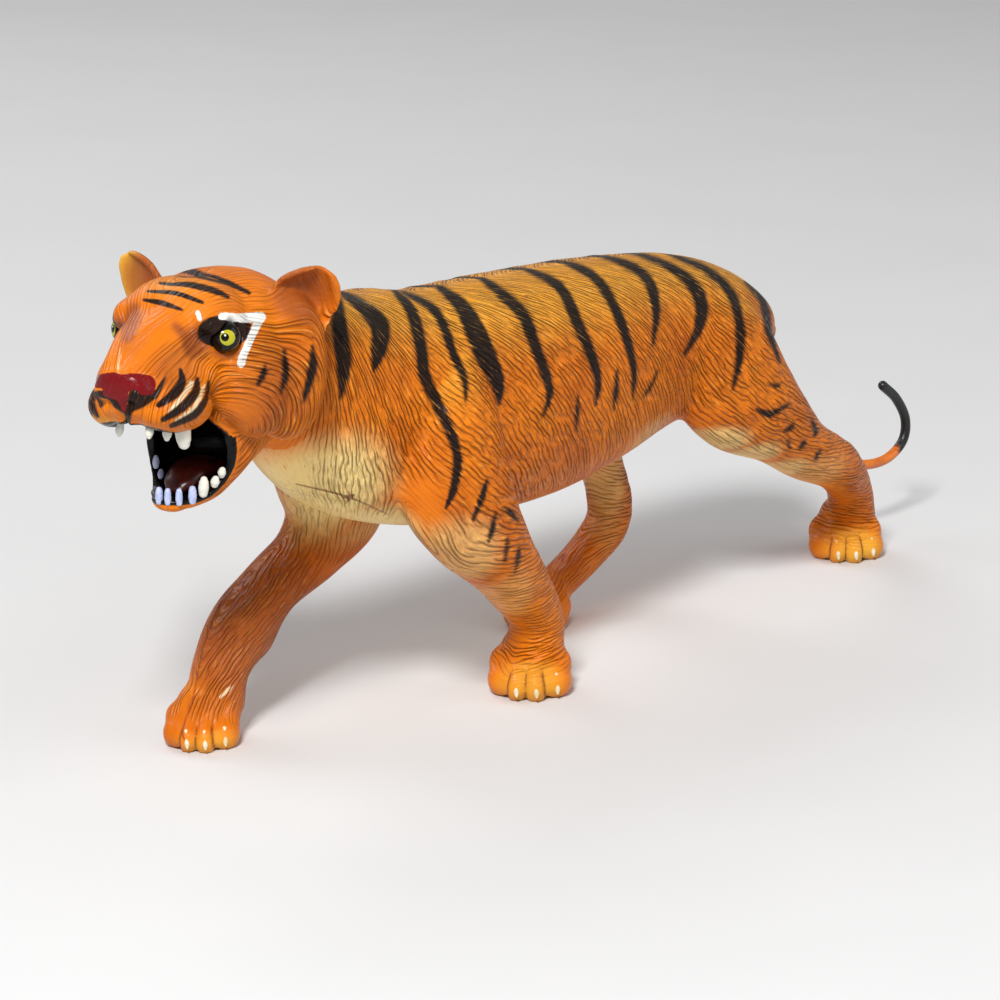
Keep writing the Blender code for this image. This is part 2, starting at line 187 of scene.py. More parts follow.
# Paint marks of the near side: photograph pixels x, y and full stroke width
BODY_STRIPES = [
    [(337, 300, 12), (340, 330, 16), (344, 365, 17), (341, 397, 4)],
    [(340, 292, 6), (362, 306, 14), (380, 326, 20), (378, 352, 16), (374, 370, 4)],
    [(394, 290, 6), (412, 312, 12), (421, 347, 13), (424, 374, 12), (436, 401, 12), (451, 433, 11),
     (458, 458, 10), (454, 488, 9), (446, 508, 3)],
    [(403, 292, 5), (430, 306, 9), (444, 326, 10), (453, 354, 9), (464, 377, 8), (466, 400, 3)],
    [(437, 285, 6), (460, 304, 15), (473, 326, 20), (485, 354, 22), (497, 381, 16), (499, 404, 4)],
    [(478, 276, 5), (501, 293, 11), (523, 315, 13), (534, 343, 12), (545, 372, 11), (550, 394, 8),
     (543, 416, 3)],
    [(522, 267, 5), (559, 286, 11), (576, 320, 12), (591, 354, 11), (598, 380, 8), (596, 405, 3)],
    [(558, 259, 5), (592, 275, 10), (611, 300, 11), (626, 337, 10), (634, 371, 7), (633, 400, 3)],
    [(598, 254, 5), (635, 268, 10), (651, 286, 11), (656, 313, 9), (653, 345, 3)],
    [(630, 250, 5), (669, 266, 9), (693, 285, 13), (702, 308, 14), (696, 334, 9), (684, 355, 3)],
    [(665, 252, 4), (705, 269, 8), (730, 292, 10), (739, 320, 10), (740, 356, 9), (733, 389, 3)],
    [(745, 282, 4), (763, 301, 8), (769, 332, 8), (780, 362, 3)],
    [(578, 397, 3), (577, 414, 5), (576, 431, 2)], [(617, 371, 3), (616, 392, 6), (614, 410, 2)],
    [(658, 371, 2), (652, 384, 4), (645, 396, 2)], [(768, 383, 2), (776, 386, 5), (782, 383, 2)],
    [(757, 409, 3), (770, 414, 8), (788, 405, 3)], [(784, 431, 3), (790, 428, 7), (794, 424, 2)],
    [(788, 440, 2), (790, 447, 4)], [(800, 449, 3), (804, 443, 6)], [(815, 459, 3), (819, 452, 5)],
    [(812, 421, 3), (816, 430, 6), (814, 436, 3)], [(487, 481, 3), (481, 500, 7), (473, 521, 3)],
    [(496, 513, 3), (493, 528, 6), (489, 542, 2)], [(503, 508, 3), (511, 513, 6), (518, 521, 3)],
    [(508, 538, 2), (507, 550, 5), (505, 561, 2)], [(519, 547, 2), (518, 560, 6), (515, 572, 2)],
]
HEAD_STRIPES = [
    [(158, 271, 3), (187, 270, 6), (215, 277, 7), (249, 293, 4)],
    [(160, 281, 3), (187, 282, 7), (211, 289, 8), (228, 297, 4)],
    [(148, 291, 3), (174, 292, 6), (202, 303, 4)], [(144, 300, 3), (162, 303, 6), (182, 310, 3)],
    [(265, 366, 3), (263, 375, 7), (258, 384, 4)], [(284, 351, 3), (285, 370, 8), (280, 392, 3)],
    [(312, 346, 3), (312, 370, 10), (302, 402, 3)],
    [(184, 369, 3), (183, 382, 8), (173, 395, 10), (159, 405, 6)],
    [(198, 379, 4), (195, 393, 9), (181, 408, 9), (163, 418, 5)],
    [(209, 382, 3), (206, 399, 6), (194, 415, 8), (171, 424, 5)],
    [(205, 330, 16), (213, 331, 27), (225, 333, 33), (237, 330, 26), (247, 326, 8)],
    [(167, 377, 2), (160, 387, 5), (155, 397, 5)],
]
WHITE_MARKS = [
    [(220, 317, 6), (240, 318, 9), (261, 317, 10)],
    [(259, 320, 9), (250, 340, 7), (243, 357, 8), (241, 363, 9)], [(198, 314, 5), (200, 319, 4)],
]
CREAM_MARKS = [
    [(192, 383, 5), (182, 398, 5), (168, 412, 3)], [(204, 386, 3), (194, 408, 5), (176, 420, 4)],
]
BODY_PALE_MARKS = [
    [(220, 697, 2), (226, 692, 4), (232, 686, 2)],
]
MUZZLE_RED = [
    [(101, 382, 13), (113, 382, 17), (122, 384, 17), (134, 382, 16), (147, 384, 18)],
    [(108, 392, 12), (120, 394, 16), (122, 403, 8), (123, 411, 4)], [(144, 388, 14), (150, 389, 10)],
]
MUZZLE_BLACK = [
    [(100, 394, 7), (108, 398, 8), (115, 403, 7)], [(134, 391, 9), (131, 402, 10)],
    [(139, 395, 7), (150, 394, 8), (157, 392, 5)], [(108, 400, 5), (114, 405, 6), (121, 411, 7)],
    [(154, 396, 7), (145, 399, 12), (136, 404, 13), (128, 411, 9)],
    [(128, 411, 8), (127, 422, 7), (127, 437, 7)], [(92, 388, 2), (97, 398, 5), (101, 406, 3)],
    [(89, 398, 2), (94, 408, 5), (99, 415, 3)],
]
# Painted shade on the face, by the far eye socket, beside the bridge and under the near eye: same columns
FACE_SHADE = [
    [(135, 309, 9), (132, 322, 17), (128, 338, 12)], [(176, 326, 5), (186, 334, 9), (193, 343, 5)],
    [(212, 352, 3), (228, 356, 5), (243, 352, 3)],
]
MUZZLE_PALE = [
    [(121, 348, 1), (119, 362, 2), (118, 375, 2)],
]
SEAMS = [
    [(286, 519, 1), (252, 560, 1.4), (229, 587, 1.4), (209, 630, 1.4), (201, 658, 1.4), (192, 703, 1.4),
     (182, 729, 1.6), (187, 745, 1.4)],
    [(296, 484, 1), (330, 492, 1.6), (357, 500, 1.6), (387, 514, 1.2)],
    [(344, 497, 2.5), (349, 497, 4), (354, 495, 2)], [(347, 491, 1.2), (350, 497, 3), (346, 503, 1.2)],
]

# Fur lines seen from the left: table x, z and degrees below level towards the tail
FUR_SLOPES = [
    (-98, 108, 82), (-92, 92, 88), (-86, 76, 92), (-78, 60, 90), (-66, 50, 80), (-74, 108, 64),
    (-60, 106, 46), (-45, 101, 28), (-56, 90, 38), (-68, 82, 62), (-58, 76, 34), (-60, 62, 38),
    (-46, 84, 48), (-52, 56, 24), (-46, 44, 6), (-36, 36, -12), (-26, 24, -18), (-22, 14, -10),
    (-34, 64, 62), (-30, 84, 58), (-20, 99, 30), (-14, 88, 55), (-10, 76, 66), (-5, 60, 76),
    (8, 98, 30), (12, 86, 58), (15, 72, 68), (18, 56, 76), (34, 96, 32), (36, 82, 58), (36, 64, 66),
    (50, 92, 35), (52, 76, 52), (60, 64, 42), (68, 78, 44), (80, 66, 40), (74, 54, 30), (86, 44, 22),
    (98, 35, 14), (112, 24, 5), (88, 76, 45),
]
FAR_LEG_SLOPES = [
    (-56, 62, 60), (-60, 48, 110), (-72, 36, 138), (-88, 26, 146), (-96, 16, 130), (-104, 8, 120),
    (44, 60, 50), (46, 46, 20), (51, 32, 8), (50, 20, 0), (36, 13, -30),
]

# Small forms pressed into the head or raised on it: centre, radii and height, both sides alike
HEAD_RELIEF = [
    ((-31, 9, 0.5), (8, 3.5, 3.4), -1.5), ((-23.5, 10, 4.0), (4.4, 3.6, 4.6), -2.4),
    ((-17, 15.5, -1.2), (6, 4, 2.0), -0.7), ((-41, 0, -2.2), (3, 7, 1.8), 0.7),
    ((-39.6, 5.6, -5.4), (2.6, 2.4, 2.6), 1.0), ((-41.6, 3.3, -8.6), (2.2, 1.6, 1.3), -1.7),
    ((-39.0, 7.9, -8.6), (3.0, 2.0, 1.2), -0.9), ((-40.0, 0, -12.6), (4.0, 0.9, 3.4), -1.2),
    ((-36.0, 7.5, -11.5), (5.5, 5.0, 4.0), 0.8), ((-19.0, 10.5, 10.8), (5.5, 4.6, 2.4), 1.0),
    ((-30, 0, 5.5), (10, 2.6, 4), 0.5), ((-8, 0, 19), (12, 2.0, 4), -0.5),
    ((-2.0, 19, -11), (8, 5, 8), 0.9), ((-9.0, 13.5, -12.5), (4.5, 4.0, 3.0), -0.8),
    ((-6.5, 14.0, -22), (2.6, 4.0, 7.0), -0.5),
]
# Brown on the head: centre, radii, strength; the patches in the hollows beside the bridge, at the inner eye
# corners and by the mouth's corners are painted shade
HEAD_BROWN_AND_SHADE = [
    ((-5, 18, -7), (15, 8, 13), 0.5), ((-30, 9, 0), (9, 6, 6), 0.45),
    ((-24, 10.5, 4.5), (5.5, 4, 5), 1.0), ((-10, 13, -13), (6, 5, 5), 0.8),
    ((4, -22, 14), (9, 8, 9), 0.95), ((-30, 0, 4), (12, 5, 5), 0.25),
]
HEAD_YELLOW = [
    ((4, 27, 16), (8, 5, 11), 1.0), ((-34, 7, -13.5), (8, 6, 3), 0.45),
    ((-8, 12, -37), (10, 9, 4), 0.6), ((-14, 0, 15), (9, 9, 6), 0.25),
]

# Where the fur is smoother: centre, radii, strength
CALM_PATCHES = [
    ((-71, -25, 60), (10, 8, 9), 0.85), ((-103, -12, 75), (13, 12, 9), 0.9),
    ((-95, -3, 71), (12, 11, 8), 0.9),
]

HEAD_CALM = [
    ((-13, -15, -13), (8, 6, 6), 0.9), ((-13, 15, -13), (8, 6, 6), 0.9), ((-33, 0, 4), (11, 7, 7), 0.4),
]

# Pale patches: centre, radii, strength
CREAM_PATCHES = [
    ((-86, -8, 66), (17, 22, 17), 1.0), ((-72, 0, 52), (22, 24, 10), 1.0),
    ((-58, -28, 46), (12, 10, 12), 0.45), ((-40, -26, 28), (8, 10, 14), 0.3),
    ((30, -24, 54), (16, 9, 9), 0.5), ((0, 0, 44), (75, 18, 7), 0.9), ((52, -20, 50), (11, 9, 5), 0.7),
    ((66, -20, 44), (9, 9, 4.5), 0.7), ((80, -20, 37), (9, 8, 4), 0.6),
    ((90, -20, 34), (16, 8, 7), 0.3), ((45, 12, 38), (9, 9, 20), 0.5),
]
BROWN_PATCHES = [
    ((-90, 10, 30), (26, 16, 26), 0.8), ((-76, 14, 40), (18, 14, 14), 0.4),
    ((60, -26, 76), (20, 12, 12), 0.15),
]
TOE_PATCHES = [
    ((LEFT_FORE_PAW[0] - 5, LEFT_FORE_PAW[1] - 4, 3.5), (9, 9, 6), 0.8),
    ((RIGHT_FORE_PAW[0] - 4, RIGHT_FORE_PAW[1] - 5, 2), (8, 8, 4), 0.6),
    ((LEFT_HIND_PAW[0] - 4, LEFT_HIND_PAW[1] - 5, 3), (9, 9, 6), 0.9),
    ((RIGHT_HIND_PAW[0] - 4, RIGHT_HIND_PAW[1], 3), (8, 8, 5), 0.8),
]


def linked(name, data):
    """A new object at the origin, in the scene."""
    obj = bpy.data.objects.new(name, data)
    bpy.context.scene.collection.objects.link(obj)
    return obj


# Camera

def camera_axes():
    """Back, right and up of the photograph's camera in table axes."""
    a, e, r = CAMERA_AZIMUTH, CAMERA_ELEVATION, CAMERA_ROLL
    back = np.array((math.sin(a) * math.cos(e), -math.cos(a) * math.cos(e), math.sin(e)))
    level = np.array((math.cos(a), math.sin(a), 0.0))
    rise = np.cross(back, level)
    right = math.cos(r) * level + math.sin(r) * rise
    up = math.cos(r) * rise - math.sin(r) * level
    return back, right, up


CAMERA_BACK, CAMERA_RIGHT, CAMERA_UP = camera_axes()
CAMERA_AT = CAMERA_TARGET + CAMERA_BACK * CAMERA_DISTANCE


def photo_point(points):
    """Where table points fall in the photograph, in pixels."""
    d = points - CAMERA_AT
    depth = -(d @ CAMERA_BACK)
    half = PHOTO_SIZE / 2
    return np.stack([half + FOCAL_PIXELS * (d @ CAMERA_RIGHT) / depth,
                     half - FOCAL_PIXELS * (d @ CAMERA_UP) / depth], -1)


def make_camera():
    data = bpy.data.cameras.new("camera")
    camera = linked("camera", data)
    at = (CAMERA_AT + TABLE_SHIFT) * MM
    rows = [[*axes, place] for *axes, place in zip(CAMERA_RIGHT, CAMERA_UP, CAMERA_BACK, at)]
    camera.matrix_world = Matrix(rows + [[0, 0, 0, 1]])
    data.sensor_width = 36
    data.lens = FOCAL_PIXELS / PHOTO_SIZE * data.sensor_width
    data.clip_start = 0.05
    data.clip_end = 20
    bpy.context.scene.camera = camera


# Forms

def smooth_rows(stations, steps):
    """Rows on a Catmull-Rom curve through the stations."""
    s = np.asarray(stations, float)
    p = np.vstack([2 * s[0] - s[1], s, 2 * s[-1] - s[-2]])
    t = np.linspace(0, 1, steps, endpoint=False)[:, None]
    rows = []
    for a, b, c, d in zip(p, p[1:], p[2:], p[3:]):
        rows.append(0.5 * (2 * b + (c - a) * t + (2 * a - 5 * b + 4 * c - d) * t**2
                           + (3 * b - a - 3 * c + d) * t**3))
    return np.vstack(rows + [s[-1:]])


def grid_faces(rows, ring):
    """Quads of a grid that closes on itself round each row."""
    i, j = np.meshgrid(np.arange(rows - 1), np.arange(ring), indexing="ij")
    k = (j + 1) % ring
    return np.stack([i * ring + j, i * ring + k, (i + 1) * ring + k, (i + 1) * ring + j], -1).reshape(-1, 4)


def fans(rows, ring):
    """Triangles, as quads with a repeated corner, that close both ends on two extra points."""
    k = np.arange(ring)
    n = (k + 1) % ring
    start = np.stack([np.full(ring, rows * ring), n, k, k], -1)
    last = (rows - 1) * ring
    end = np.stack([np.full(ring, rows * ring + 1), last + k, last + n, last + n], -1)
    return np.vstack([start, end])


def tube(stations, power=2.0, steps=8, ring=48):
    """Superelliptic loft: centre(t) + deep * d(a) + side * w(a), with |d/plus|^p + |w/wide|^p = 1."""
    s = smooth_rows(stations, steps)
    centre = s[:, :3]
    along = np.gradient(centre, axis=0)
    along /= np.linalg.norm(along, axis=1)[:, None]
    side = np.array((0.0, 1.0, 0.0)) - along[:, 1:2] * along
    side /= np.linalg.norm(side, axis=1)[:, None]
    deep = np.cross(along, side)
    angle = np.linspace(0, 2 * np.pi, ring, endpoint=False)
    c = np.sign(np.cos(angle)) * np.abs(np.cos(angle)) ** (2 / power)
    w = np.sign(np.sin(angle)) * np.abs(np.sin(angle)) ** (2 / power)
    radii = np.maximum(s[:, 3:6], 0.05)
    depth = np.where(c > 0, radii[:, :1], radii[:, 1:2]) * c
    rings = (centre[:, None] + deep[:, None] * depth[..., None]
             + side[:, None] * (radii[:, 2:3] * w)[..., None])
    push = np.sin(np.radians((72, 54, 36, 18)))
    shrink = np.sqrt(1 - push**2)
    reach = radii.min(axis=1)

    def dome(k, way):
        """Shrinking rings beyond the end ring k, and the tip they close on."""
        out = way * along[k] * reach[k]
        spokes = rings[k] - centre[k]
        return [centre[k] + out * p + spokes * q for p, q in zip(push, shrink)], centre[k] + out

    (first, start), (last, end) = dome(0, -1), dome(-1, 1)
    rings = np.concatenate([first, rings, last[::-1]])
    verts = np.vstack([rings.reshape(-1, 3), start, end])
    return verts, np.vstack([grid_faces(len(rings), ring), fans(len(rings), ring)])


def turning(yaw, pitch, roll):
    """Rotation matrix: roll about X, then pitch about Y, then yaw about Z, in degrees."""
    cy, cp, cr = np.cos(np.radians((yaw, pitch, roll)))
    sy, sp, sr = np.sin(np.radians((yaw, pitch, roll)))
    about_z = np.array(((cy, -sy, 0), (sy, cy, 0), (0, 0, 1)))
    about_y = np.array(((cp, 0, sp), (0, 1, 0), (-sp, 0, cp)))
    about_x = np.array(((1, 0, 0), (0, cr, -sr), (0, sr, cr)))
    return about_z @ about_y @ about_x


HEAD_MATRIX = turning(*HEAD_TURN)


def ball(centre, radii, turn=(0, 0, 0), ring=40, rows=22):
    """Ellipsoid: centre + turn * (radii * (sin t cos a, sin t sin a, cos t))."""
    t = np.linspace(0, np.pi, rows + 1)[1:-1, None]
    a = np.linspace(0, 2 * np.pi, ring, endpoint=False)[None]
    unit = np.stack([np.sin(t) * np.cos(a), np.sin(t) * np.sin(a), np.cos(t) + 0 * a], -1)[:, ::-1]
    unit = np.vstack([unit.reshape(-1, 3), (0, 0, 1), (0, 0, -1)])
    verts = (unit * radii) @ turning(*turn).T + centre
    return verts, np.vstack([grid_faces(rows - 1, ring), fans(rows - 1, ring)])


def both(form):
    """A form and its mirror image across the middle plane."""
    verts, faces = form
    return [form, (verts * (1, -1, 1), faces[:, ::-1])]


def ear(inner, outer, tip, cup):
    """Cupped plate: base line * u + rise * v + back * cup(u, v), with a rounded rim."""
    inner, outer, tip = (np.array(p, float) for p in (inner, outer, tip))
    middle = (inner + outer) / 2
    half = (outer - inner) / 2
    rise = tip - middle
    back = np.cross(rise, half)
    back *= np.sign(back[0]) / np.linalg.norm(back)
    u = np.linspace(-1, 1, 49)[:, None]
    v = np.linspace(-0.5, 1, 25)[None]
    up = np.clip(v, 0, 1)
    wide = np.maximum(np.sqrt(1 - up**2.3) * (1 + 0.1 * up), 0.12)
    bend = cup * ((1 - u**2) * (1 - 0.55 * up) - 0.35)
    thick = (EAR_BASE_THICK + (EAR_TIP_THICK - EAR_BASE_THICK) * up) * (1 - 0.35 * np.abs(u) ** 4)
    front = middle + (u * wide)[..., None] * half + (v + 0 * u)[..., None] * rise + bend[..., None] * back
    rear = front + thick[..., None] * back
    nu, nv = front.shape[:2]
    loop = np.concatenate([front, rear[:, ::-1]], axis=1)
    ring = 2 * nv
    verts = np.vstack([loop.reshape(-1, 3), loop[0].mean(axis=0), loop[-1].mean(axis=0)])
    return verts, np.vstack([grid_faces(nu, ring), fans(nu, ring)])


def paw(at, turn, size):
    """A low dome with four toes and their knuckles in an arc."""
    forms = [ball((0, 0, 5.2), (PAW_HALF + 0.7, PAW_HALF, 5.2)),
             ball((1.5, 0, 8.5), (PAW_HALF - 0.8, PAW_HALF - 1, PAW_LIFT))]
    forms += [ball((x, y, 4.0), (r + 1.6, r - 0.1, r + 0.2)) for x, y, r in TOES]
    forms += [ball((x + 3.5, y, KNUCKLE_HEIGHT), (4.0, r - 0.3, 4.0)) for x, y, r in TOES]
    stretch = np.array((size, size, size * PAW_STRETCH))
    matrix = turning(turn, 0, 0)
    return [((v * stretch) @ matrix.T + (at[0], at[1], -SOLE_SINK), f) for v, f in forms]


def in_head(forms):
    """Forms of the head's own frame, placed on the neck."""
    return [(v @ HEAD_MATRIX.T + HEAD_AT, f) for v, f in forms]


def trunk_form():
    rows = []
    for x, top, bottom, wide in TRUNK:
        middle = (top + bottom) / 2
        rows.append((x, 0, middle, top - middle, middle - bottom, wide))
    return tube(rows, power=2.25, ring=64)


def body_forms():
    forms = [trunk_form()]
    forms += [tube(leg) for leg in (LEFT_FORELEG, RIGHT_FORELEG, LEFT_HINDLEG, RIGHT_HINDLEG)]
    forms += [tube([(x, y, z, r, r, r) for x, y, z, r in TAIL[:4]])]
    for at, turn, size in PAWS:
        forms += paw(at, turn, size)
    return forms


def head_forms():
    forms = [tube(MUZZLE, power=2.3), tube(JAW, power=2.3)]
    forms += [ball(*form) for form in (SKULL, FOREHEAD, NOSE, LIP)]
    for form in (WHISKER_PAD, BROW, CHEEK, RUFF, EYE_SOCKET):
        forms += both(ball(*form))
    forms += [ear(*LEFT_EAR), ear(*RIGHT_EAR)]
    return in_head(forms)


def gape_form():
    """Prism that opens the mouth through both cheeks."""
    outline = np.array(GAPE, float)
    n = len(outline)
    sides = [np.column_stack([outline[:, 0], np.full(n, y), outline[:, 1]]) for y in (-GAPE_HALF, GAPE_HALF)]
    faces = [list(range(n)), list(range(2 * n - 1, n - 1, -1))]
    faces += [[(i + 1) % n, i, n + i, n + (i + 1) % n] for i in range(n)]
    return np.vstack(sides), faces


# Mesh work

def new_object(name, verts, faces):
    """Object at the origin; vertices already in the frame or, for scratch work, in table millimetres."""
    mesh = bpy.data.meshes.new(name)
    loops = faces.tolist() if isinstance(faces, np.ndarray) else faces
    mesh.from_pydata(verts.tolist(), [], [[*dict.fromkeys(loop)] for loop in loops])
    return linked(name, mesh)


def joined(forms):
    verts, faces, start = [], [], 0
    for v, f in forms:
        verts.append(v)
        faces.append(np.asarray(f) + start)
        start += len(v)
    return np.vstack(verts), np.vstack(faces)


def bake(obj):
    graph = bpy.context.evaluated_depsgraph_get()
    mesh = bpy.data.meshes.new_from_object(obj.evaluated_get(graph))
    obj.modifiers.clear()
    obj.data = mesh


def join_cells(obj, size):
    remesh = obj.modifiers.new("join", "REMESH")
    remesh.mode = "VOXEL"
    remesh.voxel_size = size
    bake(obj)


def cut_away(obj, form):
    cutter = new_object("cutter", *form)
    bm = bmesh.new()
    bm.from_mesh(cutter.data)
    bmesh.ops.recalc_face_normals(bm, faces=bm.faces)
    bm.to_mesh(cutter.data)
    bm.free()
    cut = obj.modifiers.new("cut", "BOOLEAN")
    cut.operation = "DIFFERENCE"
    cut.solver = "EXACT"
    cut.object = cutter
    bake(obj)
    bpy.data.objects.remove(cutter)


def read_mesh(obj):
    mesh = obj.data
    verts = np.empty(len(mesh.vertices) * 3)
    mesh.vertices.foreach_get("co", verts)
    corners = np.empty(len(mesh.loops), int)
    mesh.loops.foreach_get("vertex_index", corners)
    if len(corners) != 4 * len(mesh.polygons):
        raise ValueError("the cell mesh is expected to be all quads")
    return verts.reshape(-1, 3), corners.reshape(-1, 4)


def edge_list(faces):
    pairs = np.vstack([faces[:, (i, (i + 1) % 4)] for i in range(4)])
    pairs.sort(axis=1)
    keys = np.unique(pairs[:, 0].astype(np.int64) * (faces.max() + 1) + pairs[:, 1])
    return keys // (faces.max() + 1), keys % (faces.max() + 1)


def relax(values, faces, rounds, factor=0.5):
    """Each point's values move part of the way to the mean of its neighbours."""
    a, b = edge_list(faces)
    n = len(values)
    count = np.maximum(np.bincount(a, minlength=n) + np.bincount(b, minlength=n), 1)
    for _ in range(rounds):
        mean = np.stack([np.bincount(a, column[b], n) + np.bincount(b, column[a], n)
                         for column in values.T], -1)
        values = values + factor * (mean / count[:, None] - values)
    return values


def point_normals(verts, faces):
    p = verts[faces]
    face = np.cross(p[:, 2] - p[:, 0], p[:, 3] - p[:, 1])
    n = len(verts)
    total = np.stack([sum(np.bincount(faces[:, i], face[:, k], n) for i in range(4)) for k in range(3)], -1)
    return total / np.maximum(np.linalg.norm(total, axis=1), 1e-12)[:, None]


def skin(forms, cell, cutters=(), rounds=10):
    """One closed skin round all the forms: joined, cut, joined finer and relaxed."""
    obj = new_object("skin", *joined(forms))
    join_cells(obj, JOIN_CELL)
    for form in cutters:
        cut_away(obj, form)
    join_cells(obj, cell)
    verts, faces = read_mesh(obj)
    bpy.data.objects.remove(obj)
    return relax(verts, faces, rounds), faces


# Fields over the skin

def ramp(value, low, high):
    """Smooth step from 0 at low to 1 at high; low may be the larger one."""
    t = np.clip((value - low) / (high - low), 0, 1)
    return t * t * (3 - 2 * t)


def noise(points, seed=0):
    """Value noise from -1 to 1 on a unit lattice, smoothly blended."""
    base = np.floor(points).astype(np.int64)
    f = points - base
    f = f * f * (3 - 2 * f)
    total = np.zeros(len(points))
    for corner in range(8):
        step = np.array((corner & 1, corner >> 1 & 1, corner >> 2 & 1))
        cell = base + step
        key = cell[:, 0] * 73856093 ^ cell[:, 1] * 19349663 ^ cell[:, 2] * 83492791 ^ (seed + 1) * 2654435761
        key = (key ^ key >> 13) * 1274126177 & 0x7FFFFFFF
        weight = np.prod(np.where(step, f, 1 - f), axis=1)
        total += weight * ((key ^ key >> 15) & 0xFFFF) / 32767.5
    return total - 1


def unit(vectors):
    return vectors / np.maximum(np.linalg.norm(vectors, axis=1), 1e-9)[:, None]


def tangent(vectors, normals):
    return vectors - (vectors * normals).sum(-1)[:, None] * normals


def slope_at(points, table):
    """Sine and cosine of the fur's slope, weighted over the table by 1 / (distance^2 + 30)^2."""
    rows = np.array(table, float)
    away = (points[:, :1] - rows[:, 0]) ** 2 + (points[:, 2:] - rows[:, 1]) ** 2
    weight = 1 / (away + 30) ** 2
    angle = np.radians(rows[:, 2])
    both_ways = np.stack([weight @ np.sin(angle), weight @ np.cos(angle)], -1)
    return unit(both_ways)


def head_weight(points, head):
    return ramp(head[:, 0], 19, 14) * ramp(points[:, 2], 50, 64)


def across_fur(points, normals):
    """Unit tangents that cross the fur lines, and which side each point faces."""
    side = np.clip(-normals[:, 1:2] * 5, -1, 1)
    level = side * np.cross((0, 0, 1), normals) + 0.25 * tangent(np.array([(1.0, 0, 0)]), normals)
    level = unit(level)
    rise = np.where(side < 0, -1, 1) * np.cross(normals, level)
    far = (ramp(points[:, 1], 2, 7) * ramp(points[:, 2], 72, 60))[:, None]
    slope = slope_at(points, FUR_SLOPES) * (1 - far) + slope_at(points, FAR_LEG_SLOPES) * far
    body = slope[:, :1] * level + slope[:, 1:] * rise
    head = (points - HEAD_AT) @ HEAD_MATRIX
    turned = normals @ HEAD_MATRIX
    half = np.sign(head[:, 1:2])
    mouth_corner = np.concatenate([0 * half - 13, 11 * half, 0 * half - 15], axis=1)
    round_mouth = unit(tangent(head - mouth_corner, turned))
    to_middle = unit(tangent(np.concatenate([0 * half, -half, 0 * half], axis=1), turned))
    top = np.maximum(ramp(head[:, 2], 1, 11), ramp(head[:, 0], -17, -25))[:, None]
    on_head = unit(round_mouth * (1 - top) + to_middle * top) @ HEAD_MATRIX.T
    share = head_weight(points, head)[:, None]
    return unit(body * (1 - share) + on_head * share), side


def fit_lengths(verts, faces, field):
    """Numbers whose steps along the edges best follow the field, by conjugate gradients."""
    a, b = edge_list(faces)
    n = len(verts)

    def spread(step):
        return np.bincount(b, step, n) - np.bincount(a, step, n)

    rest = spread(((field[a] + field[b]) / 2 * (verts[b] - verts[a])).sum(-1))
    value, push = np.zeros(n), rest
    size = start = rest @ rest
    for _ in range(SOLVER_ROUNDS):
        answer = spread(push[b] - push[a])
        step = size / (push @ answer)
        value = value + step * push
        rest = rest - step * answer
        size, before = rest @ rest, size
        if size < SOLVER_REST * start:
            break
        push = rest + size / before * push
    return value


def gradients(verts, faces, normals, value):
    """Least-squares slope of a value at each point, in the surface."""
    a, b = edge_list(faces)
    edge = verts[b] - verts[a]
    n = len(verts)

    def gather(weight):
        return np.bincount(a, weight, n) + np.bincount(b, weight, n)

    square = np.stack([gather(edge[:, i] * edge[:, j]) for i in range(3) for j in range(3)], -1)
    square = square.reshape(n, 3, 3) + normals[:, :, None] * normals[:, None, :]
    step = value[b] - value[a]
    right = np.stack([gather(edge[:, i] * step) for i in range(3)], -1)
    return np.linalg.solve(square, right[..., None])[..., 0]


def make_chart():
    """Lengths across and along the fur on a coarse skin of the whole animal."""
    obj = new_object("chart", *joined(body_forms() + head_forms()))
    join_cells(obj, CHART_CELL)
    verts, faces = read_mesh(obj)
    bpy.data.objects.remove(obj)
    verts = relax(verts, faces, 3)
    normals = point_normals(verts, faces)
    across, side = across_fur(verts, normals)
    along = np.cross(normals, across) * side
    values = [fit_lengths(verts, faces, field) for field in (across, along)]
    slopes = [gradients(verts, faces, normals, value) for value in values]
    tree = KDTree(len(verts))
    for index, point in enumerate(verts.tolist()):
        tree.insert(point, index)
    tree.balance()
    return tree, verts, values, slopes


def chart_lengths(points, faces, chart):
    """The chart's two lengths at finer points, carried over by value and slope."""
    tree, verts, values, slopes = chart
    near = np.array([tree.find(point)[1] for point in points.tolist()])
    step = points - verts[near]
    lengths = np.stack([v[near] + (s[near] * step).sum(-1) for v, s in zip(values, slopes)], -1)
    return relax(lengths, faces, 8)


def fur_strength(points, normals, head):
    """How deep the moulded grooves are at each point, from 0 to 1."""
    strength = 0.85 + 0.25 * noise(points / 9.0, 3)
    far_leg = ramp(points[:, 1], 4, 8) * ramp(points[:, 2], 60, 48) * ramp(points[:, 0], -30, -50)
    strength *= 1 - 0.35 * far_leg
    belly = 0.35 * ramp(points[:, 2], 66, 54)
    strength *= 1 - belly * ramp(points[:, 0], -30, -15) * ramp(points[:, 0], 60, 45)
    on_head = 0.9 - 0.6 * ramp(head[:, 0], -15, -26) - 0.5 * ramp(head[:, 2], 5, 12)
    ears = 0.8 * ramp(np.abs(head[:, 1]), 16, 20)
    on_head = np.maximum(on_head, 0.2) * (1 - ears * ramp(head[:, 2], 7, 11))
    on_head = on_head * (1 - patches(head, HEAD_CALM))
    share = head_weight(points, head)
    strength = strength * (1 - share) + on_head * share
    strength *= 1 - patches(points, CALM_PATCHES)
    strength *= ramp(points[:, 2], 3, 13)
    strength *= 1 - 0.85 * ramp(normals[:, 2], -0.6, -0.9)
    return np.clip(strength, 0, 1)


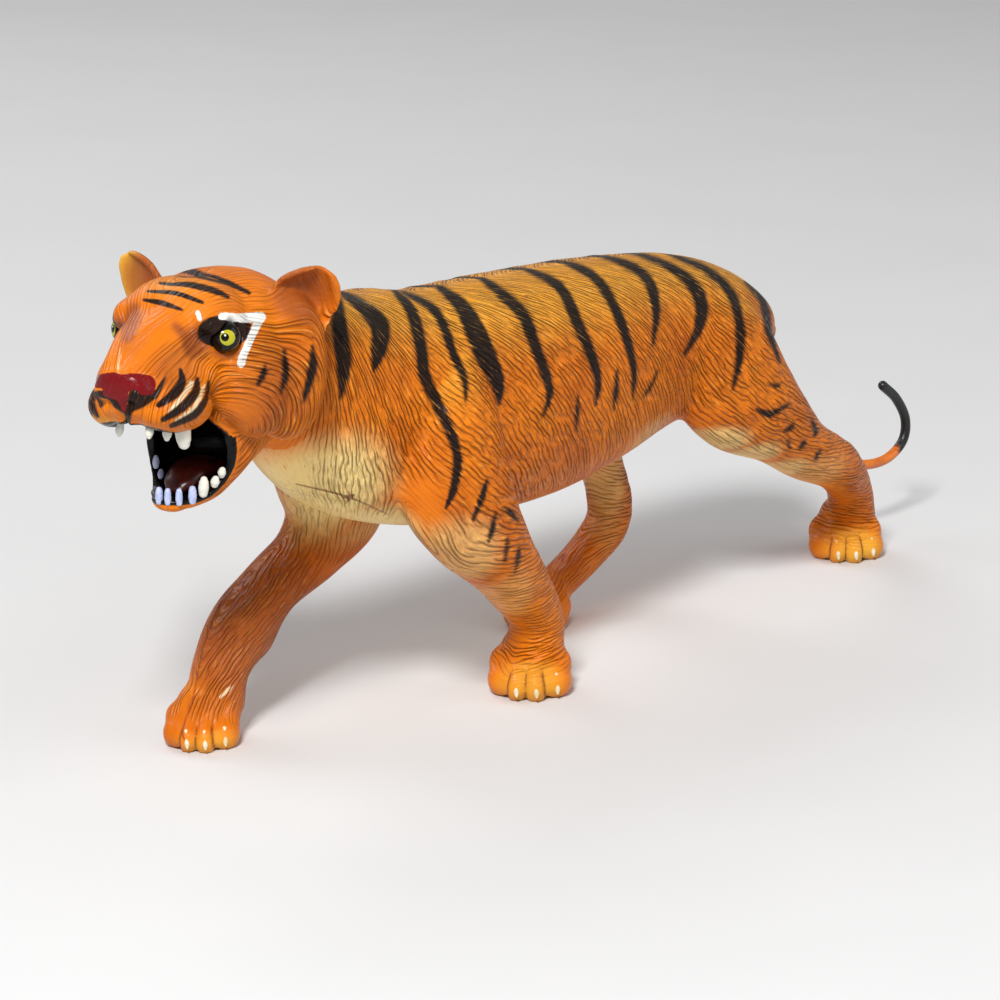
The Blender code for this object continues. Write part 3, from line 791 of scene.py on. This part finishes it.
def toe_creases(points):
    """Distance in millimetres to the nearest crease between two toes."""
    best = np.full(len(points), 9.0)
    for at, turn, size in PAWS:
        place = (points - (*at, 0)) @ turning(turn, 0, 0) / size
        outside = 3 * (1 - ramp(place[:, 0], -1.0, -5.0) * ramp(place[:, 2], 11.0, 6.5))
        outside += 9.0 * (np.abs(place[:, 1]) > 9)
        spread = 1 - 0.35 * ramp(place[:, 2], 3, 11)
        for y in CREASES:
            best = np.minimum(best, np.abs(place[:, 1] - y * spread) * size + outside)
    return best


def stroke_distance(pixels, strokes):
    """Distance in pixels to the edge of the nearest stroke, negative inside."""
    best = np.full(len(pixels), 60.0)
    for stroke in strokes:
        row = smooth_rows(stroke, 3)
        for a, b in zip(row, row[1:]):
            d = b[:2] - a[:2]
            t = np.clip((pixels - a[:2]) @ d / (d @ d), 0, 1)
            away = np.linalg.norm(pixels - a[:2] - t[:, None] * d, axis=1)
            best = np.minimum(best, away - (a[2] + (b[2] - a[2]) * t) / 2)
    return best


def patches(points, table):
    total = np.zeros(len(points))
    for centre, radii, strength in table:
        r = np.linalg.norm((points - centre) / radii, axis=1)
        total = np.maximum(total, strength * ramp(r, 1.25, 0.55))
    return total


def mirrored(table):
    return table + [((x, -y, z), radii, strength) for (x, y, z), radii, strength in table if y]


def gape_distance(head):
    """Signed distance in the side view from the mouth's opening, negative inside."""
    outline = np.array(GAPE, float)
    flat = head[:, (0, 2)]
    best = np.full(len(head), 99.0)
    inside = np.zeros(len(head), bool)
    for a, b in zip(outline, np.roll(outline, -1, axis=0)):
        d = b - a
        t = np.clip((flat - a) @ d / (d @ d), 0, 1)
        best = np.minimum(best, np.linalg.norm(flat - a - t[:, None] * d, axis=1))
        crosses = (a[1] > flat[:, 1]) != (b[1] > flat[:, 1])
        level = a[0] + (flat[:, 1] - a[1]) * d[0] / np.where(d[1] == 0, 1e-9, d[1])
        inside ^= crosses & (flat[:, 0] < level)
    return np.where(inside, -best, best)


def throat_distance(head):
    """How far a head point lies outside the throat's surface, negative inside."""
    row = np.array(THROAT, float)
    x = head[:, 0]
    middle, plus, minus, wide = (np.interp(x, row[:, 0], row[:, k]) for k in (2, 3, 4, 5))
    deep = head[:, 2] - middle
    high = np.where(deep > 0, minus, plus)
    value = ((np.abs(deep) / high) ** 2.5 + (np.abs(head[:, 1]) / wide) ** 2.5) ** 0.4
    return np.where((x > row[0, 0]) & (x < 6), (value - 1) * np.minimum(high, wide), 20.0)


# Distances, in millimetres, that keep paint off a point
OUT_OF_SIGHT = 30
NO_PAINT = 20


def paint_fields(points, normals, head):
    """Distances to the paint's edges in millimetres and the soft tints, painted shade and painted top light
    among them, one row per point.
    """
    scale = FOCAL_PIXELS / CAMERA_DISTANCE

    def edge(pixels, strokes, off):
        return stroke_distance(pixels, strokes) / scale + off

    on_head = head_weight(points, head) > 0.5
    far = points[:, 1] > 0
    fold = np.where(far[:, None], (1, -1, 1), 1)
    folded = photo_point(points * fold)
    seen = OUT_OF_SIGHT * ramp((normals * fold) @ CAMERA_BACK, 0.12, -0.1)
    low_far = OUT_OF_SIGHT * (far & (points[:, 2] < 52))
    direct = photo_point(points)
    hidden = OUT_OF_SIGHT * ramp(normals @ CAMERA_BACK, 0.1, -0.1)
    black = edge(folded, BODY_STRIPES, seen) + low_far
    pale_marks = edge(direct, BODY_PALE_MARKS, hidden)
    seam = edge(direct, SEAMS, hidden) + OUT_OF_SIGHT * (points[:, 0] > -40)
    forehead = (head[:, 2] > 5) & (np.abs(head[:, 1]) < 13) & (head[:, 0] < 4)
    flip = (head[:, 1] > 0) & ~forehead
    flips = np.where(flip[:, None], (1, -1, 1), 1)
    pixels = photo_point((head * flips) @ HEAD_MATRIX.T + HEAD_AT)
    turned = (normals @ HEAD_MATRIX * flips) @ HEAD_MATRIX.T
    seen = OUT_OF_SIGHT * ramp(turned @ CAMERA_BACK, 0.1, -0.1)
    muzzle = OUT_OF_SIGHT * (head[:, 0] > -27) + hidden
    face_black = np.minimum(edge(pixels, HEAD_STRIPES, seen), edge(direct, MUZZLE_BLACK, muzzle))
    face_pale = np.minimum(edge(pixels, CREAM_MARKS, seen), edge(direct, MUZZLE_PALE, muzzle))
    black = np.where(on_head, face_black, black)
    white = np.where(on_head, edge(pixels, WHITE_MARKS, seen), NO_PAINT)
    pale_marks = np.where(on_head, face_pale, pale_marks)
    nose = np.where(on_head, edge(direct, MUZZLE_RED, muzzle), NO_PAINT)
    reach = np.where(head[:, 2] > -19, np.interp(head[:, 0], (-24, -17, -13), (0.35, 0.9, 0.3)), 1.3)
    mouth = np.minimum(throat_distance(head) - 0.9, gape_distance(head) - reach)
    mouth = np.where(on_head & (np.abs(head[:, 1]) < GAPE_HALF - 6), mouth, NO_PAINT)
    brown_and_shade = np.maximum(patches(points, BROWN_PATCHES), on_head * patches(head, mirrored(HEAD_BROWN_AND_SHADE)))
    # Painted top light: up-facing surfaces of the upper back turn more yellow, as if lit from above
    back = 0.6 * ramp(normals[:, 2], 0.2, 0.85) * ramp(points[:, 2], 74, 88) * ~on_head
    yellow_and_top_light = np.maximum(patches(points, TOE_PATCHES), on_head * patches(head, HEAD_YELLOW))
    yellow_and_top_light = np.maximum(yellow_and_top_light, back)
    # Painted shade on the face, mixed into the brown
    shade = edge(direct, FACE_SHADE, hidden)
    brown_and_shade = np.maximum(brown_and_shade, on_head * 0.9 * ramp(shade, 1.4, -0.8))
    pale = patches(points, CREAM_PATCHES) * ~on_head
    # Dark parting-line seams, and painted shade in the creases between the toes
    lines = np.where(on_head, NO_PAINT, np.minimum(seam, toe_creases(points) - 0.2))
    return (np.stack([black, white, pale_marks], -1), np.stack([nose, mouth, yellow_and_top_light], -1),
            np.stack([pale, brown_and_shade, lines], -1))


# Relief of the skin: lumps across and along the fur, creases between toes
LUMP_HEIGHT = 0.16
LUMP_SIZE = (2.6, 9.0)
CREASE_DEPTH = 0.75
CREASE_WIDTH = 0.6
DRAW_IN_ZONE = 3.0


def kept_inside(points):
    """Squeeze the outermost DRAW_IN_ZONE of each side, so that the skin ends at the solid's box."""
    box = np.array([tuple(corner) for corner in CAD_BOX]) / MM - TABLE_SHIFT
    for axis in range(3):
        for sign, limit in ((1, box[1, axis]), (-1, -box[0, axis])):
            value = sign * points[:, axis]
            over = max(value.max() - limit, 0.0)
            start = limit - DRAW_IN_ZONE
            drawn = start + (value - start) * DRAW_IN_ZONE / (DRAW_IN_ZONE + over)
            points[:, axis] = sign * np.where(value > start, drawn, value)
    return points


def finish_skin(verts, faces, chart):
    """Press in the small forms, add the fur's lumps and return the fields to store."""
    normals = point_normals(verts, faces)
    head = (verts - HEAD_AT) @ HEAD_MATRIX
    share = head_weight(verts, head)
    lift = np.zeros(len(verts))
    for centre, radii, height in mirrored(HEAD_RELIEF):
        lift += height * np.exp(-(((head - centre) / radii) ** 2).sum(-1))
    lift *= share
    eye = np.linalg.norm(head * (1, -1, 1) * np.where(head[:, 1:2] > 0, 1, (1, -1, 1)) - EYEBALL_AT, axis=1)
    socket = np.where(head[:, 0] < -8, 1.0, 0.0) * share
    crease = toe_creases(verts)
    lift -= CREASE_DEPTH * np.exp(-((crease / CREASE_WIDTH) ** 2))
    lift += socket * (0.5 * np.exp(-((eye - 4.9) / 0.6) ** 2) - 1.2 * ramp(eye, 4.3, 3.6))
    lengths = chart_lengths(verts, faces, chart)
    strength = fur_strength(verts, normals, head)
    marks, zones, tints = paint_fields(verts, normals, head)
    strength = strength * ramp(zones[:, 1], 0.0, 1.4) * ramp(zones[:, 0], -0.3, 1.0)
    strength = strength * np.where(head[:, 0] < -8, ramp(eye, 4.8, 7.0), 1)
    rows = np.column_stack([lengths / LUMP_SIZE, 0 * lift])
    lift += LUMP_HEIGHT * strength * noise(rows, 4)
    verts = verts + normals * lift[:, None]
    verts[:, 2] = np.maximum(verts[:, 2], 0.0)
    verts = kept_inside(verts)
    fur = np.column_stack([lengths, strength])
    return verts, {"fur": fur, "marks": marks, "zones": zones, "tints": tints}


def put_skin(name, verts, faces, fields, keep, material):
    """An object from the faces that are kept, with the fields as point attributes."""
    faces = faces[keep]
    used = np.unique(faces)
    index = np.zeros(len(verts), int)
    index[used] = np.arange(len(used))
    points = (verts[used] + TABLE_SHIFT) * MM
    mesh = bpy.data.meshes.new(name)
    mesh.vertices.add(len(points))
    mesh.vertices.foreach_set("co", points.ravel())
    mesh.loops.add(faces.size)
    mesh.loops.foreach_set("vertex_index", index[faces].ravel())
    mesh.polygons.add(len(faces))
    mesh.polygons.foreach_set("loop_start", np.arange(len(faces)) * 4)
    mesh.update(calc_edges=True)
    mesh.polygons.foreach_set("use_smooth", np.ones(len(faces), bool))
    for key, value in fields.items():
        layer = mesh.attributes.new(key, "FLOAT_VECTOR", "POINT")
        layer.data.foreach_set("vector", value[used].astype(np.float32).ravel())
    obj = linked(name, mesh)
    obj.data.materials.append(material)
    return ride(obj)


def ride(obj):
    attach(obj, "root")
    return obj


# Materials

class Nodes:
    """Short calls for wiring a material."""

    def __init__(self, name):
        self.material = bpy.data.materials.new(name)
        self.material.use_nodes = True
        self.tree = self.material.node_tree
        self.shader = self.tree.nodes["Principled BSDF"]

    def link(self, value, socket):
        if isinstance(value, bpy.types.NodeSocket):
            self.tree.links.new(value, socket)
        else:
            socket.default_value = value

    def math(self, operation, a, b=0.0, c=0.0, clamp=False):
        node = self.tree.nodes.new("ShaderNodeMath")
        node.operation = operation
        node.use_clamp = clamp
        for value, socket in zip((a, b, c), node.inputs):
            self.link(value, socket)
        return node.outputs[0]

    def times(self, a, b):
        return self.math("MULTIPLY", a, b)

    def scaled(self, value, factor, offset):
        return self.math("MULTIPLY_ADD", value, factor, offset)

    def ramp(self, value, low, high):
        node = self.tree.nodes.new("ShaderNodeMapRange")
        node.interpolation_type = "SMOOTHSTEP"
        for v, k in ((value, 0), (low, 1), (high, 2)):
            self.link(v, node.inputs[k])
        return node.outputs[0]

    def mix(self, factor, a, b):
        node = self.tree.nodes.new("ShaderNodeMix")
        node.data_type = "RGBA"
        self.link(factor, node.inputs[0])
        self.link(a, node.inputs[6])
        self.link(b, node.inputs[7])
        return node.outputs[2]

    def field(self, name):
        node = self.tree.nodes.new("ShaderNodeAttribute")
        node.attribute_name = name
        split = self.tree.nodes.new("ShaderNodeSeparateXYZ")
        self.tree.links.new(node.outputs["Vector"], split.inputs[0])
        return split.outputs

    def place(self):
        return self.tree.nodes.new("ShaderNodeTexCoord").outputs["Object"]

    def noise(self, size_mm, detail=2.0, rough=0.5, where=None):
        node = self.tree.nodes.new("ShaderNodeTexNoise")
        node.inputs["Scale"].default_value = 1000.0 / size_mm
        node.inputs["Detail"].default_value = detail
        node.inputs["Roughness"].default_value = rough
        self.tree.links.new(where or self.place(), node.inputs["Vector"])
        return node.outputs[0]

    def strokes(self, across, along, wide, long, seed=0.0, detail=1.0):
        """Noise drawn out along the fur, its cells wide by long millimetres."""
        join = self.tree.nodes.new("ShaderNodeCombineXYZ")
        self.link(self.math("DIVIDE", across, wide), join.inputs[0])
        self.link(self.math("DIVIDE", along, long), join.inputs[1])
        join.inputs[2].default_value = seed
        node = self.tree.nodes.new("ShaderNodeTexNoise")
        node.inputs["Scale"].default_value = 1.0
        node.inputs["Detail"].default_value = detail
        self.tree.links.new(join.outputs[0], node.inputs["Vector"])
        return node.outputs[0]

    def bump(self, height, distance, strength=1.0):
        node = self.tree.nodes.new("ShaderNodeBump")
        node.inputs["Strength"].default_value = strength
        node.inputs["Distance"].default_value = distance
        self.link(height, node.inputs["Height"])
        self.tree.links.new(node.outputs[0], self.shader.inputs["Normal"])


ORANGE = (0.70, 0.175, 0.004, 1)
DEEP_ORANGE = (0.55, 0.118, 0.003, 1)
GROOVE_SHADE_BROWN = (0.21, 0.042, 0.004, 1)
OCHRE = (0.34, 0.16, 0.035, 1)
HIGHLIGHT_GOLD = (0.88, 0.50, 0.10, 1)
CREAM = (0.88, 0.68, 0.27, 1)
YELLOW = (0.78, 0.44, 0.045, 1)
BROWN = (0.27, 0.062, 0.015, 1)
INK = (0.003, 0.003, 0.003, 1)
WHITE = (0.78, 0.77, 0.72, 1)
NOSE_RED = (0.15, 0.006, 0.008, 1)
PALE_PAINT = (0.74, 0.60, 0.36, 1)
DEEP_RED = (0.24, 0.010, 0.014, 1)
SEAM_AND_CREASE_SHADE_BROWN = (0.16, 0.03, 0.01, 1)


# Millimetres between grooves, and their depth in the shading
GROOVE_STEP = 1.15
FUR_DEPTH = 0.9


def vinyl_material():
    """Orange vinyl with painted shade in the grooves, painted highlights on the crests and brushed marks that
    break up at their edges.
    """
    n = Nodes("painted_vinyl")
    across, along, strength = n.field("fur")
    black, white, cream = n.field("marks")
    nose, mouth, yellow_and_top_light = n.field("zones")
    pale, brown_and_shade, seam = n.field("tints")
    broad = n.noise(20, 3)
    fine = n.noise(1.1, 3, 0.6)
    sway = n.scaled(n.strokes(across, along, 8, 20), 2.8, -1.4)
    jitter = n.scaled(n.strokes(across, along, 1.8, 6.0, 3), 1.5, -0.75)
    turns = n.math("ADD", n.math("DIVIDE", across, GROOVE_STEP), n.math("ADD", sway, jitter))
    wave = n.math("ABSOLUTE", n.math("SINE", n.times(turns, math.pi)))
    hair = n.strokes(across, along, 0.42, 4.0, 9, 2.0)
    gaps = n.ramp(n.strokes(across, along, 1.6, 6.0, 15), 0.30, 0.55)
    depth = n.times(strength, gaps)
    valley = n.times(n.ramp(wave, 0.62, 0.0), depth)
    crest = n.times(n.ramp(wave, 0.7, 1.0), n.ramp(hair, 0.54, 0.70))
    colour = n.mix(n.ramp(broad, 0.30, 0.60), DEEP_ORANGE, ORANGE)
    # Yellow paint, and the painted top light of the back
    colour = n.mix(n.times(yellow_and_top_light, 0.85), colour, YELLOW)
    # Brown paint, with painted shade in the head's hollows
    colour = n.mix(n.times(brown_and_shade, 0.9), colour, BROWN)
    cream_hair = n.times(pale, n.ramp(hair, 0.15, 0.45))
    colour = n.mix(n.times(cream_hair, 0.95), colour, CREAM)
    # Painted shade: the grooves darken towards brown, or towards ochre on the pale fur, in place of their own
    # shadow
    groove_shade = n.mix(pale, GROOVE_SHADE_BROWN, OCHRE)
    colour = n.mix(n.times(valley, 0.72), colour, groove_shade)
    # Painted highlight: gold on the fur's crests, stronger where the painted top light is
    crest_highlight = n.times(n.times(crest, strength), n.scaled(yellow_and_top_light, 0.6, 0.55))
    colour = n.mix(crest_highlight, colour, HIGHLIGHT_GOLD)
    ragged = n.scaled(hair, 2.4, -1.2)
    cover = n.ramp(n.scaled(ragged, 0.7, cream), 0.2, -0.2)
    colour = n.mix(n.times(cover, 0.85), colour, PALE_PAINT)
    # Dark parting lines, and painted shade in the toe creases
    colour = n.mix(n.times(n.ramp(seam, 0.2, -0.15), 0.8), colour, SEAM_AND_CREASE_SHADE_BROWN)
    edge = n.times(ragged, n.scaled(strength, 0.9, -0.15))
    soft_edge = n.scaled(strength, 0.55, 0.12)
    ink = n.ramp(n.math("ADD", black, edge), soft_edge, n.times(soft_edge, -1))
    # Painted highlight: the crests show lighter through the black stripes
    ink = n.math("SUBTRACT", ink, n.times(crest, n.times(strength, 0.35)), clamp=True)
    colour = n.mix(n.times(ink, 0.98), colour, INK)
    soft = n.scaled(fine, 1.2, -0.6)
    colour = n.mix(n.ramp(n.scaled(soft, 0.5, white), 0.15, -0.15), colour, WHITE)
    wet_mouth = n.ramp(n.scaled(soft, 0.4, mouth), 0.2, -0.2)
    wet_nose = n.ramp(n.scaled(soft, 0.4, nose), 0.15, -0.15)
    colour = n.mix(wet_nose, colour, n.mix(n.ramp(fine, 0.5, 0.8), NOSE_RED, DEEP_RED))
    colour = n.mix(wet_mouth, colour, INK)
    n.link(colour, n.shader.inputs["Base Color"])
    wet = n.math("MAXIMUM", wet_mouth, wet_nose)
    rough = n.scaled(fine, 0.3, 0.18)
    n.link(n.scaled(wet, -0.2, rough), n.shader.inputs["Roughness"])
    n.shader.inputs["Specular IOR Level"].default_value = 0.17
    height = n.times(n.math("POWER", wave, 0.8), depth)
    height = n.scaled(n.times(hair, strength), 0.9, height)
    height = n.scaled(fine, 0.2, height)
    n.bump(height, FUR_DEPTH * MM, 1.0)
    return n.material


def plain_material(name, colour, rough, second=None, size=2.0):
    """Brushed enamel with a slight change of tone."""
    n = Nodes(name)
    tone = n.noise(size, 3, 0.6)
    n.link(n.mix(n.ramp(tone, 0.35, 0.7), colour, second or colour), n.shader.inputs["Base Color"])
    n.shader.inputs["Roughness"].default_value = rough
    n.bump(tone, 0.0001, 0.4)
    return n.material


def eye_material(centre, targets, side_name):
    """Yellow-green iris, black pupil and a white glint that is a painted highlight, by distance from three
    aim points.
    """
    n = Nodes("eye_paint_" + side_name)
    colour = INK
    wobble = n.noise(0.9, 2)
    for aim, radius, tint in targets:
        node = n.tree.nodes.new("ShaderNodeVectorMath")
        node.operation = "DISTANCE"
        n.tree.links.new(n.place(), node.inputs[0])
        node.inputs[1].default_value = (centre + aim) * MM
        reach = n.scaled(wobble, 0.0002, node.outputs["Value"])
        colour = n.mix(n.ramp(reach, radius * MM + 0.0002, radius * MM), colour, tint)
    n.link(colour, n.shader.inputs["Base Color"])
    n.shader.inputs["Roughness"].default_value = 0.12
    n.shader.inputs["Specular IOR Level"].default_value = 0.25
    return n.material


# Pieces

def put_form(name, forms, material):
    """A smooth object in the frame from forms in table millimetres."""
    verts, faces = joined(forms)
    obj = new_object(name, (verts + TABLE_SHIFT) * MM, faces)
    for polygon in obj.data.polygons:
        polygon.use_smooth = True
    obj.data.materials.append(material)
    return ride(obj)


def tooth(root, tip, radius, blunt=0.3):
    """Peg from root to tip, widest at a third of its length; blunt runs from 0 to 1."""
    root, tip = np.array(root, float), np.array(tip, float)
    rows = []
    for t, r in ((-0.15, 0.85), (0.25, 1.0), (0.6, 0.94), (0.85, 0.66 + 0.24 * blunt),
                 (1.0, 0.28 + 0.5 * blunt)):
        centre = root + (tip - root) * t
        rows.append((*centre, radius * r, radius * r, radius * r))
    return tube(rows, steps=5, ring=20)


UPPER_TEETH = [
    ((-27.6, -8.4, -14.0), (-27.0, -8.6, -18.6), 1.9, 0.9),
    ((-31.5, -6.9, -14.4), (-31.8, -6.9, -16.9), 1.15, 0.6),
    ((-35.2, -4.4, -14.2), (-35.5, -4.4, -16.2), 1.0, 0.6),
    ((-32.1, 5.5, -14.8), (-31.8, 6.0, -17.2), 1.0, 0.3),
]
LOWER_TEETH = [
    ((-21.7, 1.4, -33.4), (-21.9, 1.3, -31.0), 0.95, 1.0),
    ((-21.8, -1.0, -33.5), (-22.0, -1.1, -31.0), 0.85, 1.0),
    ((-20.9, -3.5, -33.5), (-21.1, -3.6, -31.0), 0.85, 1.0),
    ((-18.7, -5.8, -33.1), (-18.9, -5.9, -30.6), 1.0, 1.0),
    ((-16.5, -7.4, -31.4), (-16.7, -7.7, -28.6), 1.25, 0.8),
    ((-13.7, -8.8, -29.8), (-13.8, -9.1, -28.8), 1.1, 1.0),
    ((-11.9, -9.6, -27.8), (-12.2, -10.0, -26.8), 1.0, 1.0),
    ((-13.3, 7.4, -26.8), (-13.3, 7.4, -25.0), 0.8, 0.8),
    ((-12.6, 6.5, -29.4), (-12.5, 6.5, -28.3), 0.8, 0.8),
]


def make_teeth(name, table, material):
    return put_form(name, in_head([tooth(*row) for row in table]), material)


def make_tongue(material):
    rows = [(-2, 0, -27.6, 2.4, 2.2, 4.6), (-6, 0, -27.6, 2.6, 2.6, 5.4), (-11, 0, -28.4, 2.5, 2.4, 5.0),
            (-15, 0, -30.2, 2.0, 1.8, 4.0), (-16.8, 0, -31.4, 1.4, 1.2, 2.6)]
    return put_form("tongue", in_head([tube(rows, power=2.3, ring=40)]), material)


def make_claws(material):
    forms = []
    for at, turn, size in PAWS:
        matrix = turning(turn, 0, 0)
        for x, y, r in TOES[1:]:
            root = np.array((x - r + 0.2, y, 5.2)) * size
            tip = np.array((x - r - 1.5, y - 0.4, 1.8)) * size
            forms.append(tooth(matrix @ root + (*at, 0), matrix @ tip + (*at, 0), 0.75 * size))
    return put_form("claws", forms, material)


def make_eyes():
    for side, name in ((-1, "left"), (1, "right")):
        flip = (1, -side, 1)
        centre = np.array(EYEBALL_AT) * flip
        world = HEAD_MATRIX @ centre + HEAD_AT + TABLE_SHIFT
        targets = []
        # Iris, pupil, and a painted highlight for the glint
        for aim, radius, tint in (((-0.72, -0.69, 0.05), 1.85, (0.42, 0.39, 0.02, 1)),
                                  ((-0.83, -0.55, 0.08), 0.95, INK),
                                  ((-0.81, -0.54, 0.20), 0.22, WHITE)):
            gaze = unit(np.array([aim]))[0] * EYEBALL_RADIUS * flip
            targets.append((HEAD_MATRIX @ gaze, radius, tint))
        material = eye_material(world, targets, name)
        put_form("eye_" + name, in_head([ball(centre, (EYEBALL_RADIUS,) * 3, ring=48, rows=30)]), material)


def tail_material():
    """Orange vinyl that runs into black from the bottom of the curl to the tip."""
    n = Nodes("tail_paint")
    split = n.tree.nodes.new("ShaderNodeSeparateXYZ")
    n.tree.links.new(n.place(), split.inputs[0])
    ragged = n.scaled(n.noise(1.2, 3), 0.004, -0.002)
    x = n.math("ADD", split.outputs[0], ragged)
    z = n.math("ADD", split.outputs[2], ragged)
    curl = n.times(n.ramp(x, 0.130, 0.132), n.ramp(z, 0.0285, 0.0300))
    black = n.math("MAXIMUM", n.ramp(x, 0.1515, 0.1535), curl)
    tone = n.mix(n.ramp(n.noise(5, 3), 0.4, 0.65), DEEP_ORANGE, ORANGE)
    n.link(n.mix(black, tone, INK), n.shader.inputs["Base Color"])
    n.shader.inputs["Roughness"].default_value = 0.38
    n.bump(n.noise(0.8, 3), 0.0002, 0.5)
    return n.material


def make_tail():
    form = tube([(x, y, z, r, r, r) for x, y, z, r in TAIL], steps=14, ring=28)
    return put_form("tail", [form], tail_material())


def make_skins(material):
    chart = make_chart()
    verts, faces = skin(body_forms(), BODY_CELL, rounds=7)
    verts, fields = finish_skin(verts, faces, chart)
    middle = verts[faces].mean(axis=1)
    neck = (middle[:, 0] < NECK_CUT_X) & (middle[:, 2] > NECK_CUT_Z)
    fore = middle[:, 0] < MIDDLE_CUT_X
    pieces = [put_skin("fore_skin", verts, faces, fields, fore & ~neck, material),
              put_skin("hind_skin", verts, faces, fields, ~fore, material)]
    gape_verts, gape_faces = gape_form()
    gape = (gape_verts @ HEAD_MATRIX.T + HEAD_AT, gape_faces)
    throat = in_head([tube(THROAT, power=2.5)])[0]
    verts, faces = skin([trunk_form()] + head_forms(), HEAD_CELL, (gape, throat), rounds=8)
    verts, fields = finish_skin(verts, faces, chart)
    middle = verts[faces].mean(axis=1)
    pieces.append(put_skin("head_skin", verts, faces, fields, middle[:, 0] < NECK_CUT_X + 1.0, material))
    return pieces


def make_floor():
    bm = bmesh.new()
    bmesh.ops.create_grid(bm, x_segments=2, y_segments=2, size=FLOOR_SIZE)
    mesh = bpy.data.meshes.new("floor")
    bm.to_mesh(mesh)
    bm.free()
    floor = linked("floor", mesh)
    n = Nodes("floor_paper")
    n.link(n.mix(n.noise(60, 2), (0.63, 0.63, 0.63, 1), (0.66, 0.66, 0.66, 1)), n.shader.inputs["Base Color"])
    n.shader.inputs["Roughness"].default_value = 0.8
    mesh.materials.append(n.material)


def area_light(name, at, aim, power, size):
    data = bpy.data.lights.new(name, "AREA")
    data.energy = power
    data.size = size
    light = linked(name, data)
    light.location = at
    light.rotation_euler = (Vector(aim) - Vector(at)).to_track_quat("-Z", "Y").to_euler()


def make_lights():
    middle = (0, 0, 0.06)
    area_light("key", (-0.95, -0.55, 1.10), middle, 24, 0.30)
    area_light("fill", (0.7, -0.9, 0.7), middle, 4, 0.9)
    area_light("back", (0.2, 1.0, 0.9), middle, 5, 0.7)
    world = bpy.data.worlds.new("studio")
    bpy.context.scene.world = world
    world.use_nodes = True
    world.node_tree.nodes["Background"].inputs[0].default_value = (1, 1, 1, 1)
    world.node_tree.nodes["Background"].inputs[1].default_value = 0.34


def main():
    scene = bpy.context.scene
    scene.view_settings.view_transform = "Standard"
    make_camera()
    vinyl = vinyl_material()
    skins = make_skins(vinyl)
    for piece in skins + [make_tail()]:
        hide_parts("tiger_figure")
    make_eyes()
    ivory = plain_material("ivory_paint", (0.66, 0.66, 0.60, 1), 0.3, (0.74, 0.70, 0.58, 1))
    blue = plain_material("blue_white_paint", (0.36, 0.42, 0.66, 1), 0.3, (0.52, 0.56, 0.74, 1), 1.0)
    make_teeth("upper_teeth", UPPER_TEETH, ivory)
    make_teeth("lower_incisors", LOWER_TEETH[:4] + LOWER_TEETH[7:], blue)
    make_teeth("lower_canines", LOWER_TEETH[4:7], ivory)
    make_tongue(plain_material("tongue_paint", (0.075, 0.006, 0.004, 1), 0.3, (0.03, 0.002, 0.002, 1), 4.0))
    make_claws(plain_material("claw_paint", (0.62, 0.50, 0.28, 1), 0.4, (0.75, 0.70, 0.55, 1)))
    make_floor()
    make_lights()


main()
